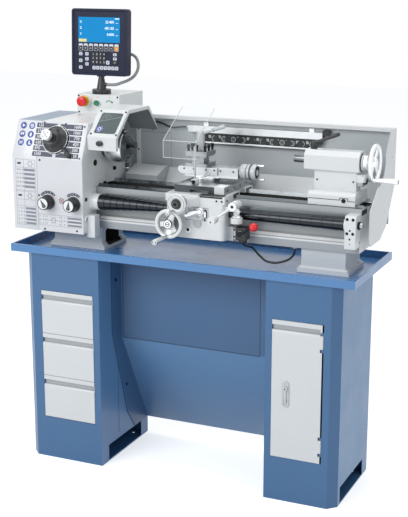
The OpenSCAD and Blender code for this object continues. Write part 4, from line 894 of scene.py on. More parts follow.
# -------- the room
@dataclass
class Studio:
    """A pale floor, soft lamps and the camera.

    Attributes:
        eye: where the camera stands.
        azimuth: how far round to the right it stands, in degrees.
        elevation: how far it looks down, in degrees.
        lens: its focal length for a sensor 36 mm long.
        glow: what the floor adds of its own where it is seen, so that it runs into the white sky.
    """

    eye: Place = (1806.7, -4059.1, 1958.4)
    azimuth: float = 24.181
    elevation: float = 14.19
    lens: float = 82.81
    glow: float = 0.62

    def build(self) -> None:
        """Makes the floor, the lamps, the sky and the camera."""
        self.floor()
        self.lamps()
        self.camera()

    def camera(self) -> None:
        """Makes the camera."""
        lens = bpy.data.cameras.new("camera")
        lens.sensor_fit = "AUTO"
        lens.sensor_width = SENSOR
        lens.lens = self.lens
        lens.clip_end = 100.0
        eye = placed("camera", lens)
        eye.location = Vector(self.eye) * MM
        eye.rotation_euler = (math.radians(90 - self.elevation), 0.0, math.radians(self.azimuth))
        bpy.context.scene.camera = eye

    def floor(self) -> None:
        """Makes a wide pale floor that holds the machine's shadow."""
        part = bmesh.new()
        reach = 14.0
        bmesh.ops.create_grid(part, x_segments=1, y_segments=1, size=reach)
        mesh = bpy.data.meshes.new("floor")
        part.to_mesh(mesh)
        part.free()
        finish = bpy.data.materials.new("studio_floor")
        tree = bare_tree(finish)
        pale = add(tree, "BsdfDiffuse", {"Color": linear("#e6e8ea")})
        glow = add(tree, "Emission", {"Color": linear("#ffffff"), "Strength": self.glow})
        lit = add(tree, "AddShader", {0: pale.outputs[0], 1: glow.outputs[0]})
        seen = add(tree, "MixShader", {0: self.seen(tree), 1: pale.outputs[0], 2: lit.outputs[0]})
        add(tree, "OutputMaterial", {"Surface": seen.outputs[0]})
        mesh.materials.append(finish)
        placed("floor", mesh)

    def seen(self, tree: NodeTree) -> NodeSocket:
        """Returns a socket that is 1 for the rays that show a surface, and 0 for those that light it."""
        ray = add(tree, "LightPath")
        value = ray.outputs["Is Camera Ray"]
        for name in ("Is Glossy Ray", "Is Transmission Ray"):
            value = add(tree, "Math", {0: value, 1: ray.outputs[name]}, operation="MAXIMUM").outputs[0]
        return value

    def lamps(self) -> None:
        """Hangs three soft lamps and a pale sky."""
        self.lamp("key", (-2.2, -4.8, 3.6), 3.2, 175.0)
        self.lamp("fill", (4.8, -2.6, 2.4), 3.0, 30.0)
        self.lamp("top", (0.3, 0.6, 4.6), 3.4, 62.0)
        world = bpy.data.worlds.new("sky")
        tree = bare_tree(world)
        sky = add(tree, "Background", {"Color": linear("#eef1f4"), "Strength": 0.5})
        white = add(tree, "Background", {"Color": (1, 1, 1, 1), "Strength": 1.0})
        both = add(tree, "MixShader", {0: self.seen(tree), 1: sky.outputs[0], 2: white.outputs[0]})
        add(tree, "OutputWorld", {"Surface": both.outputs[0]})
        bpy.context.scene.world = world
        bpy.context.scene.view_settings.view_transform = "Standard"

    def lamp(self, name: str, place: Point, size: float, power: float) -> None:
        """Hangs one square soft lamp that looks at the machine.

        Args:
            name: the lamp's name.
            place: where it hangs, in metres.
            size: its side in metres.
            power: its power in watts.
        """
        light = bpy.data.lights.new(name, "AREA")
        light.shape = "SQUARE"
        light.size = size
        light.energy = power
        hung = placed(name, light)
        hung.location = place
        machine = Vector((0.0, 0.0, 0.95))
        hung.rotation_euler = (machine - Vector(place)).to_track_quat("-Z", "Y").to_euler()


# -------- cords
@dataclass
class Cord:
    """A cable that hangs between two glands.

    Attributes:
        name: the piece's name.
        node: the frame's node that it stands for.
        body: the body that it rides on.
        route: the points that it passes through, in millimetres.
        diameter: its diameter in millimetres.
        finish: its sheath.
        stiffness: limp, medium or stiff; not used.
        lay: how it hangs; not used.
        fixed_to: the body that its far end is fixed to; where one is named, the cord leaves its own body and
            stays where it is made.
    """

    name: str
    node: str
    body: str
    route: list[Place]
    diameter: float
    finish: Finish
    stiffness: str = "medium"
    lay: str = "hanging"
    fixed_to: str = ""

    def smooth(self) -> list[Vector]:
        """Returns the route with rounded corners, as points close together."""
        steps = 4
        pts = [Vector(p) for p in self.route]
        ends = [pts[0] * 2 - pts[1]] + pts + [pts[-1] * 2 - pts[-2]]
        line = []
        for a, b, c, d in zip(ends, ends[1:], ends[2:], ends[3:]):
            for t in (i / steps for i in range(steps)):
                line.append(0.5 * (2 * b + (c - a) * t + (2 * a - 5 * b + 4 * c - d) * t * t
                                   + (3 * b - a - 3 * c + d) * t ** 3))
        return line + [pts[-1]]

    def build(self) -> None:
        line = self.smooth()
        shape = Shape(self.name, self.body, self.finish)
        shape.sweep(line, self.diameter / 2)
        made = shape.piece(self.node, crease=70.0)
        if self.fixed_to:
            made.parent = None
            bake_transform(made)


CORDS = (
    # The readout's cable loops from its back down to its post.
    Cord("readout_lead", "readout_cable", "readout",
         [(-438, 179, 1586), (-438, 191, 1586), (-434, 200, 1586), (-424, 206, 1584), (-411, 207, 1577),
         (-400, 204, 1566), (-393, 199, 1552), (-390, 193, 1535), (-393, 187, 1518), (-401, 181, 1503),
         (-414, 175, 1491), (-430, 168, 1482), (-448, 160, 1475), (-468, 153, 1468), (-488, 150, 1466),
         (-510, 150, 1466)], 12.0, ARMOUR_GREY),
    # The control switch's cable hangs under the bed.
    Cord("switch_lead", "switch_cable", "carriage",
         [(204, -140, 956), (204, -140, 949), (205, -134, 941), (207, -123, 934), (210, -109, 929),
         (214, -95, 924), (221, -84, 916), (235, -79, 899), (251, -76, 883), (268, -75, 871),
         (289, -75, 867), (310, -75, 868), (332, -75, 874), (354, -76, 883), (371, -78, 897),
         (381, -80, 911), (384, -83, 923), (384, -83, 933)], 8.0, CABLE_BLACK, fixed_to="frame"),
    # The lamp's cable sags along the back wall.
    Cord("lamp_lead", "lamp_cable", "frame",
         [(-179, 199, 1309), (-190, 199, 1309), (-203, 199, 1308), (-218, 200, 1305), (-236, 201, 1303),
         (-254, 202, 1304), (-272, 203, 1310), (-292, 204, 1317), (-314, 205, 1321), (-338, 207, 1323),
         (-362, 211, 1323), (-388, 211, 1323)], 7.0, CABLE_BLACK),
)


# -------- headstock
@dataclass
class Headstock:
    """The headstock with its panel, dials, cover, motor and electrical box.

    Attributes:
        panel_y: outer face of the front panel.
        kink: height where the panel starts to lean back.
        lean: how far it leans back, in degrees.
        right: the headstock's right-hand face.
        cover: the end cover's outer face.
        box_y: front face of the electrical box.
        dial: the speed dial's place on the slope.
        knobs: the feed knobs' places along the machine.
        knob_z: their height.
    """

    panel_y: float = -195.0
    kink: float = 1214.5
    lean: float = 22.53
    right: float = -434.0
    cover: float = -744.0
    box_y: float = 110.0
    dial: Pair = (-560.0, 73.6)
    knobs: Pair = (-587.0, -474.0)
    knob_z: float = 1044.5

    def slope(self, x: float = 0.0, s: float = 0.0, out: float = 0.0) -> Matrix:
        """Returns a place on the leaning part of the panel: along the machine, up the slope, then out."""
        return shift(x, self.panel_y, self.kink) @ spin(-self.lean, "X") @ FRONT.value @ shift(0, s, out)

    def front(self, x: float = 0.0, z: float = 0.0) -> Matrix:
        """Returns a place on the upright part of the panel."""
        return FRONT.at(x, self.panel_y, z)

    def build(self) -> None:
        """Builds every piece of the headstock."""
        for node, finish, edge in (("headstock", MACHINE_WHITE, 3.0), ("gearbox", MACHINE_WHITE, 2.0),
                                   ("front_panel", PANEL_WHITE, 0.8), ("spindle", SPUN_X, 0.6),
                                   ("motor", MOTOR_GREY, 1.0)):
            cast(node, finish, edge).piece()
        cast("end_cover", COVER_BLUE, 1.5,
             (PANEL_WHITE, lambda middle, normal: normal.y < -0.4 and middle.y < -100)).piece()
        self.fittings()
        self.icons()
        self.speed_table()
        self.feed_tables()
        self.speed_dial()
        for side, x, turn in (("left", self.knobs[0], 32.0), ("right", self.knobs[1], -8.0)):
            self.feed_knob(side, x, turn)
        self.box()

    def fittings(self) -> None:
        """Builds the plugs, the screws, the oil window and the cover's louvres."""
        shape = Shape("headstock_fittings", "frame", BLACK_OXIDE)
        for y, z, r in ((-95, 1193, 12), (-172, 1062, 8)):
            shape.rod(r, (0, 3), RIGHT.at(self.right, y, z), 1.0)
        shape.screw(8, 7, *(RIGHT.at(self.right, y, z) for y, z in ((56, 1149), (-25, 1102))))
        flange = 45
        for angle in map(math.radians, range(30, 390, 60)):
            y, z = flange * math.cos(angle), SPINDLE_Z + flange * math.sin(angle)
            shape.screw(4.5, 3, RIGHT.at(self.right + 1.4, y, z))
        shape.screw(3.6, 1.8, *(self.front(x, z)
                                for x, z in ((-620, 1206), (-628, 1068), (-606, 937), (-463, 940))))
        spots = ((-624, 139), (-530, 139), (-446, 132), (-446, 8))
        shape.screw(3.2, 1.6, *(self.slope(x, s) for x, s in spots))
        shape.screw(5, 3, *(RIGHT.at(self.cover + 3, y, z) @ spin(180, "X")
                            for y, z in ((-176, 1180), (-176, 950), (130, 1330), (120, 1120))))
        oil = RIGHT.at(self.right, -168, 985)
        shape.use(SATIN_CHROME).rim(11, 2.5, 1.0, oil, 32)
        shape.use(SMOKED).rod(9, (0, 1.5), oil, 0.4)
        shape.use(BLACK_PLASTIC)
        for z in (1000, 1100, 1300):
            for k in range(4):
                low = z + 12 * k
                shape.block((self.cover, 60, low), (self.cover + 1.1, 120, low + 5), 0.3)
        shape.piece()

    def icons(self) -> None:
        """Builds the six blue function icons."""
        shape = Shape("panel_icons", "frame", PRINT_BLUE)
        places = [(x, s) for s in (123.5, 89.5, 56.0) for x in (-715.5, -677.5)]
        for x, s in places:
            shape.disc(13.5, (0, INK), self.slope(x, s), 40)
        shape.use(PRINT_WHITE)
        for index, (x, s) in enumerate(places):
            at = self.slope(x, s, INK)
            if index == 0:
                shape.prism([(-5, -7), (7, 0), (-5, 7)], (0, 0.2), at)
            elif index == 1:
                shape.prism(sector(5, 8, -140, 200), (0, 0.2), at)
                shape.disc(3, (0, 0.2), at, 20)
            elif index == 2:
                for u in (-4.5, 4.5):
                    shape.disc(3.6, (0, 0.2), at @ shift(u, 0, 0), 20)
                shape.block((-8, 4.5, 0), (8, 7, 0.2), at=at)
            elif index == 3:
                shape.prism([(-3, -8), (3, -8), (5, 1), (0, 9), (-5, 1)], (0, 0.2), at)
            elif index == 4:
                for u in (-6, 0, 6):
                    shape.block((u - 1.3, -6, 0), (u + 1.3, 6, 0.2), at=at)
                shape.block((-7, -1.2, 0), (7, 1.2, 0.2), at=at)
            else:
                shape.prism([(-4, 8), (1, 8), (1, -1), (7, -4), (7, -7), (-4, -7)], (0, 0.2), at)
        shape.piece()

    def speed_table(self) -> None:
        """Builds the dark rows of spindle speeds on both sides of the dial."""
        speeds = (("125", "1600"), ("210", "1000"), ("300", "770"), ("620", "420"), ("870", "300"),
                  ("1500", "150"))
        shape = Shape("speed_table", "frame", PRINT_DARK)
        top, pitch, half = 128.5, 22.7, 9
        rows = [top - pitch * k for k in range(6)]
        level = self.slope()
        for k, s in enumerate(rows):
            drop = 0 if k in (0, 5) else 12
            for x0, x1 in ((-656, -566 - drop), (-552 + drop, -453)):
                shape.prism([(x0, s - half), (x1, s - half), (x1, s + half), (x0, s + half)], (0, INK), level)
        shape.use(PRINT_WHITE).hoop(56.5, 58, (INK, 0.5), self.slope(*self.dial), 72)
        for s, (low, high) in zip(rows, speeds):
            shape.text(low, 11.5, self.slope(-650, s, INK), "LEFT")
            shape.text(high, 11.5, self.slope(-460, s, INK), "RIGHT")
        shape.piece()

    def grid(self, shape: Shape, lo: Point, hi: Point, columns: Sequence[float],
             rows: Sequence[float]) -> None:
        """Rules a printed table on the upright part of the panel.

        Args:
            shape: the shape that it joins.
            lo: its lower left corner.
            hi: its upper right corner.
            columns: places of its upright lines.
            rows: heights of its level lines.
        """
        for x in columns:
            shape.block((x - 0.5, lo[1], 0), (x + 0.5, hi[1], FINE_INK), at=self.front())
        for z in rows:
            shape.block((lo[0], z - 0.5, 0), (hi[0], z + 0.5, FINE_INK), at=self.front())

    def feed_tables(self) -> None:
        """Builds the thread and feed tables, and the arcs round the feed knobs."""
        shape = Shape("feed_tables", "frame", PRINT_GREY)
        arcs = ((self.knobs[0], 50), (self.knobs[1], 42))
        push = self.front(-528, 1053)
        top, middle, lowest = 1163, 1011, 987
        self.grid(shape, (-730, 946), (-643, 1204), (-730, -694, -643),
                  (1204, 1172, 1082, 1078, 1046, 1020, 946))
        self.grid(shape, (-631, 952), (-442, 995), (-631, -602, -530, -504, -442), (995, 973, 952))
        for x0, x1, first, pitch, count, half in ((-692, -645, top, 16.5, 5, 4.8),
                                                  (-690, -645, middle, 14.5, 5, 4.2),
                                                  (-502, -443, lowest, 14.0, 3, 3.8)):
            for z in (first - pitch * k for k in range(count)):
                shape.block((x0, z - half, 0), (x1, z + half, FINE_INK), at=self.front())
        for x, z, r in ((-664, 1188, 10), (-670, 1062, 9), (-566, 973, 10)):
            shape.hoop(r - 2, r, (0, FINE_INK), self.front(x, z), 24)
            for dx, dz in hexagon(r + 4):
                shape.disc(1.6, (0, FINE_INK), self.front(x + dx, z + dz), 10)
        shape.use(PRINT_DARK)
        for k in range(5):
            for j, x in enumerate((-722, -710, -699)):
                shape.text(str((k * 3 + j * 5) % 9 + 1) + str((k + j * 2) % 9), 6.0,
                           self.front(x, top - k * 16.5))
                shape.text(str((k * 2 + j * 4) % 8 + 2), 6.0, self.front(x, middle - k * 14.5))
        for k in range(3):
            for j, x in enumerate((-624, -612, -595, -538, -518)):
                shape.text(str((k * 2 + j) % 9 + 1), 6.0, self.front(x, lowest - k * 14.0))
        for z in (1184, 1058):
            shape.block((-722, z, 0), (-706, z + 8, FINE_INK), at=self.front())
        for x, spread in arcs:
            shape.prism(sector(33.5, 44, 92 - spread, 92 + spread), (0, INK), self.front(x, self.knob_z))
        shape.hoop(9, 11, (0, FINE_INK), push, 32)
        shape.use(PRINT_WHITE)
        for x, spread in arcs:
            for k in range(5):
                turn = spin(2 - spread * 0.8 + spread * 0.4 * k, "Z")
                shape.text("ABCDE"[k], 6.0, self.front(x, self.knob_z) @ turn @ shift(0, 38.7, INK))
        shape.use(PRINT_RED)
        for a in (45, -45):
            shape.block((-9, -1.4, 0.05), (9, 1.4, 0.3), at=push @ spin(a, "Z"))
        shape.piece()

    def speed_dial(self) -> None:
        """Builds the speed dial with its lever, and the range knob on it."""
        at = self.slope(*self.dial)
        shape = Shape("speed_dial", "speed_lever", BLACK_PLASTIC)
        shape.turned([(0, 1), (52.5, 1), (54, 2.5), (54, 10), (52.5, 12), (50.5, 12), (49, 13.5), (45, 17),
                      (38.5, 27), (33.5, 38), (31, 45), (29, 46.6), (20, 47), (18, 48.5),
                      (17, 52), (17, 64.5),
                      (16, 65.8), (0, 66)], at, 72)
        shape.rod(14, (-30, 1), at)
        arm = at @ spin(-40, "Z") @ spin(90, "Y") @ shift(-12, 0, 0)
        shape.rod(6, (40, 84), arm, 0.5, top=6.5)
        shape.turned([(0, 78), (7, 78), (9.4, 80), (10, 83), (10, 97), (8.6, 99.4), (0, 100)], arm, 40)
        shape.use(SATIN_CHROME).rim(53.2, 0.8, 11.0, at, 72)
        shape.piece("speed_lever")
        knob = Shape("range_dial", "range_knob", SATIN_CHROME)
        knob.turned([(0, 66.4), (19.2, 66.4), (20, 67.4), (20, 84.6), (18.8, 86), (0, 86)], at, 56)
        knob.rod(6, (-20, 66.5), at)
        knob.use(PRINT_WHITE).disc(17.6, (86, 86.2), at, 48)
        knob.use(PRINT_DARK)
        for a in range(45, 405, 90):
            knob.disc(2.2, (0, 0.15), at @ spin(a, "Z") @ shift(11.5, 0, 86.2), 16)
        knob.block((-1.2, -6, 86.2), (1.2, 6, 86.4), at=at @ spin(20, "Z"))
        knob.piece("range_knob")

    def feed_knob(self, side: str, x: float, turn: float) -> None:
        """Builds one feed knob with its white face and pointer.

        Args:
            side: left or right.
            x: its place along the machine.
            turn: how far its pointer is turned from upright, in degrees anticlockwise.
        """
        at = self.front(x, self.knob_z)
        shape = Shape("feed_knob_" + side + "_finished", "feed_knob_" + side, BLACK_PLASTIC)
        shape.turned([(0, 0.5), (28, 0.5), (29, 1.5), (29, 9), (27.5, 12), (26.2, 14), (25.4, 20), (25, 39),
                      (24, 41.6), (22.6, 42), (0, 42)], at, 56)
        shape.rod(8, (-28, 1), at)
        shape.use(PRINT_WHITE).disc(20.8, (42, 42.5), at, 48)
        shape.use(KEY_BLACK)
        face = at @ spin(turn, "Z")
        shape.prism([(-8.5, -13), (0, 19), (8.5, -13), (5, -16.5), (-5, -16.5)], (42.5, 43), face)
        shape.use(PRINT_WHITE).prism([(-0.7, -12), (0.7, -12), (0.2, 8), (-0.2, 8)], (43, 43.15), face)
        shape.piece("feed_knob_" + side)

    def box(self) -> None:
        """Builds the electrical box with its buttons and marks."""
        cast("electrical_box", BOX_WHITE, 1.5).piece()
        marks = Shape("box_marks", "frame", PRINT_YELLOW)
        y = self.box_y
        stop_at, arrow_at = FRONT.at(-584, y, 1403.5), FRONT.at(-480, y, 1392)
        marks.turned([(0, 14.2), (20, 14.2), (22.6, 15), (22.6, 17), (20, 17.4), (0, 17.4)], stop_at, 48)
        marks.use(BLACK_OXIDE)
        marks.screw(3.4, 1.8, *(FRONT.at(x, y, z) for x in (-617, -441) for z in (1422, 1357)))
        marks.use(PRINT_RED)
        for x in (-584, -532, -478):
            marks.disc(2.0, (0, INK), FRONT.at(x, y, 1424 if x < -540 else 1419), 12)
        marks.use(PRINT_GREEN).prism(sector(13, 16.5, 28, 150), (0, INK), arrow_at)
        marks.prism([(11, 12.5), (20.5, 11), (13.5, 3.5)], (0, INK), arrow_at)
        marks.piece()
        stop = Shape("stop_mushroom", "stop_button", RED_PLASTIC)
        stop.turned([(0, -8), (8, -8), (8, 24), (13.5, 25), (19.4, 30.5), (20, 33), (20, 40), (18.8, 43.5),
                     (15, 45.4), (8, 46), (0, 46)], stop_at, 56)
        stop.piece("stop_button")
        start = Shape("start_button_finished", "start_button", GREEN_PLASTIC)
        start.turned([(0, -8), (9, -8), (9, 10), (10.6, 10.4), (11, 11.2), (11, 13), (10, 14), (0, 13.2)],
                     FRONT.at(-532, y, 1396.5), 40)
        start.piece("start_button")


# -------- chuck and guard
@dataclass
class Chuck:
    """The scroll chuck with its jaws, and the guard that swings over it.

    Attributes:
        left: left edge of the guard's sheet.
        right: right edge of the guard's sheet.
        fold: the guard's front fold, as (y, z).
        slope: angle of the guard's slope, in degrees.
        reach: length of the slope.
    """

    left: float = -432.0
    right: float = -306.0
    fold: Pair = (-155.0, 1303.5)
    slope: float = 42.0
    reach: float = 137.4

    def on_slope(self, x: float = 0.0, s: float = 0.0) -> Matrix:
        """Returns a place on the guard's slope: along the machine, then up the slope."""
        return shift(x, *self.fold) @ spin(self.slope, "X") @ shift(0, s, 0)

    def build(self) -> None:
        """Builds the chuck, the jaws, the guard and its window."""
        # The lower half of the chuck's round face is painted light.
        cast("chuck_body", CHUCK_STEEL, 0.8,
             (CHUCK_LIT, lambda middle, normal: abs(normal.x) < 0.3 and middle.z < SPINDLE_Z)).piece()
        for jaw in ("jaw_1", "jaw_2", "jaw_3"):
            cast(jaw, JAW_STEEL, 0.5).piece()
        rings = Shape("chuck_rings", "spindle", CHUCK_STEEL)
        at = RIGHT.at(0, 0, SPINDLE_Z)
        rings.hoop(64.4, 65.6, (-386, -384.4), at, 72)
        rings.use(BLACK_OXIDE)
        for turn in (68, 188, 308):
            rings.block((-4.5, -4.5, 64.2), (4.5, 4.5, 65.3), 0.2,
                        shift(-361, 0, SPINDLE_Z) @ spin(turn, "X"))
        rings.piece()
        # The guard's inner faces are painted shade.
        cast("chuck_guard", GUARD_WHITE, 0.6, (GUARD_INSIDE_SHADED, self.faces_in)).piece()
        cast("guard_window", SMOKED, 0.4).piece()
        self.trim()

    def faces_in(self, middle: Vector, normal: Vector) -> bool:
        """Says whether a face of the guard looks in at the chuck, where shade is painted."""
        inward = Vector((0, 30 - middle.y, 1240 - middle.z)).normalized()
        return normal.dot(inward) > 0.35 and abs(normal.x) < 0.5 and middle.z < 1394.4

    def trim(self) -> None:
        """Builds the rim of the open end, the window's corners, screws, sign and the guard's catch, and a
        painted reflection on the window.
        """
        lo, hi = Vector((self.left + 20, 18)), Vector((self.right - 14, self.reach - 16))
        shape = Shape("guard_trim", "guard", GUARD_WHITE)
        radius = 9.0
        arc = [math.pi / 2 * k / 6 for k in range(7)]
        for x, dx, y, dy in ((lo.x, 1, lo.y, 1), (hi.x, -1, lo.y, 1), (hi.x, -1, hi.y, -1),
                             (lo.x, 1, hi.y, -1)):
            corner = [(x + dx * radius * (1 - math.sin(a)), y + dy * radius * (1 - math.cos(a))) for a in arc]
            shape.prism([(x, y)] + corner, (-1.9, -0.1), self.on_slope())
        rim = [(-155, 1251.5), (-155, 1303.5), (-53, 1395.5), (119, 1395.5), (203, 1291.5), (199.9, 1289),
               (112.8, 1382.5), (-48, 1382.5), (-142, 1297.7), (-142, 1251.5)]
        shape.prism(rim, (self.right - 2, self.right + 0.1), RIGHT.value, 0.4)
        shape.use(BLACK_OXIDE)
        shape.screw(3.6, 2.2, *(self.on_slope(x, s) for x in (self.left + 12, self.right - 7)
                                for s in (14, self.reach - 10)))
        shape.use(BLACK_PLASTIC).prism(rounded(27, 20, 9.9, 8), (0, 9), FRONT.at(-377, -155, 1279), 2.0)
        sign = self.on_slope(-395, 41)
        shape.use(PRINT_BLUE).disc(16, (-2.2, -1.8), sign, 40)
        shape.use(PRINT_WHITE).hoop(13.6, 14.4, (-1.8, -1.6), sign, 40)
        shape.hoop(4.5, 8, (-1.8, -1.6), sign, 24)
        shape.block((-1.6, -11, -1.8), (1.6, -5, -1.6), at=sign)
        # A pale streak across the window: a painted reflection.
        shape.use(PAINTED_GLARE)
        shape.prism([(-411.5, 75), (-320.5, 104), (-320.5, 108), (-411.5, 79)], (-2.2, -2.0), self.on_slope())
        shape.piece()


# -------- readout
@dataclass
class Console:
    """The digital readout on its post.

    Attributes:
        foot: the middle of its lower edge.
        tilt: how far it leans back, in degrees.
        width: its width.
        height: its height.
        thick: its depth.
    """

    foot: Place = (-534.0, 150.0, 1501.5)
    tilt: float = 2.5
    width: float = 250.0
    height: float = 262.0
    thick: float = 34.0

    def face(self, u: float = 0.0, v: float = 0.0, out: float = 0.0) -> Matrix:
        """Returns a place on the console's front: from its middle, from its foot, then out."""
        return shift(*self.foot) @ spin(-self.tilt, "X") @ FRONT.value @ shift(u, v, self.thick / 2 + out)

    def build(self) -> None:
        """Builds the console, its screen, its keys and its post."""
        cast("readout_post", BLACK_PLASTIC, 1.5).piece()
        w, h = self.width, self.height
        shell = Shape("console_shell", "readout", CONSOLE_BLACK)
        shell.prism(rounded(w, h - 0.4, 12, 6, (0, h / 2)), (-self.thick, 2.6), self.face(), 2.2, 9, 3.4)
        shell.rod(9, (-1, 9), self.face(96, 85.8, -self.thick) @ spin(180, "X"), 1.0)
        shell.use(BLACK_OXIDE)
        shell.screw(3.5, 2.0, *(self.face(u, v, -self.thick) @ spin(180, "X")
                                for u in (-100, 100) for v in (24, h - 24)))
        for k in range(9):
            v = 120 + k * 9
            shell.block((-50, v, -self.thick - 0.8), (50, v + 3.5, -self.thick + 0.5), 0.4, self.face())
        shell.piece("readout")
        self.screen()
        self.keys()

    def place(self, column: float, row: float) -> Pair:
        """Returns a place on the front from its share of the width and of the height, from the top left."""
        return (column - 0.5) * self.width, (1 - row) * self.height

    def screen(self) -> None:
        """Builds the lit screen with its three axes."""
        shape = Shape("console_screen", "readout", SCREEN_BLUE)
        (u0, v1), (u1, v0) = self.place(0.12, 0.127), self.place(0.868, 0.503)
        out, top = -0.6, 0.1
        shape.block((u0, v0, out), (u1, v1, top), 0.3, self.face())
        shape.use(SCREEN_WHITE)
        for row, (axis, value) in enumerate((("X", "25.400"), ("Z", "-80.150"), ("Y", "0.000"))):
            v = v1 - 19 - row * 24.0
            shape.text(axis, 9, self.face(u0 + 11, v, top))
            shape.text(value, 10, self.face(u1 - 26, v, top), "RIGHT")
            shape.text("mm", 4.5, self.face(u1 - 13, v - 3, top))
        shape.block((u1 - 22, v1 - 7, top), (u1 - 3, v1 - 4, top + 0.06), at=self.face())
        shape.use(KEY_YELLOW).block((u0 + 2, v0 + 1.5, top), (u0 + 37, v0 + 13, top + 0.06), at=self.face())
        shape.piece()

    def key(self, shape: Shape, column: float, row: float, width: float, height: float, cap: Finish,
            legend: Finish, mark: str = "") -> None:
        """Adds one key with a legend.

        Args:
            shape: the shape that it joins.
            column: its middle's share of the console's width.
            row: its middle's share of the height from the top.
            width: its width.
            height: its height.
            cap: the key's finish.
            legend: the legend's finish.
            mark: a number to print on it; without one it gets a small bar and a dot.
        """
        u, v = self.place(column, row)
        shape.use(cap).prism(rounded(width, height, min(width, height) * 0.18, 3),
                             (-0.9, 1.0), self.face(u, v), 0.35)
        shape.use(legend)
        if mark:
            shape.text(mark, height * 0.55, self.face(u, v, 1.0))
        else:
            shape.block((-width * 0.28, height * 0.1, 1.0), (width * 0.28, height * 0.24, 1.06),
                        at=self.face(u, v))
            shape.disc(width * 0.13, (1.0, 1.06), self.face(u, v - height * 0.18), 12)

    def keys(self) -> None:
        """Builds the rows of keys below the screen."""
        shape = Shape("console_keys", "readout", KEY_WHITE)
        for k in range(8):
            column = 0.162 + k * 0.0926
            last = k == 7
            u, v = self.place(column, 0.577)
            shape.use(KEY_WHITE).prism(rounded(18, 28, 3, 3), (-0.9, 0.5), self.face(u, v), 0.3)
            shape.use(KEY_ORANGE if last else KEY_BLACK)
            shape.prism(rounded(15, 18.5, 3, 3), (0.4, 1.6), self.face(u, v - 3.6), 0.4)
            shape.use(KEY_WHITE).disc(2.2, (1.6, 1.7), self.face(u, v - 3.6), 12)
        for row in range(3):
            for column, pitch in ((0.162, 0.102), (0.276, 0.076)):
                self.key(shape, column, 0.678 + row * pitch, 15, 13, KEY_WHITE, CONSOLE_BLACK)
        for k in range(12):
            self.key(shape, 0.392 + (k % 4) * 0.065, 0.678 + (k // 4) * 0.061, 14.5, 14, KEY_BLACK, KEY_WHITE,
                     str((k + 1) % 10))
        for column, row, w, h in ((0.782, 0.678, 16, 11), (0.782, 0.741, 16, 11), (0.654, 0.80, 15, 15)):
            self.key(shape, column, row, w, h, KEY_WHITE, CONSOLE_BLACK)
        self.key(shape, 0.782, 0.80, 23, 12, KEY_BLACK, KEY_WHITE, "0")
        for k in range(7):
            self.key(shape, 0.406 + k * 0.068, 0.882, 14.5, 14, KEY_WHITE, CONSOLE_BLACK)
        shape.piece()


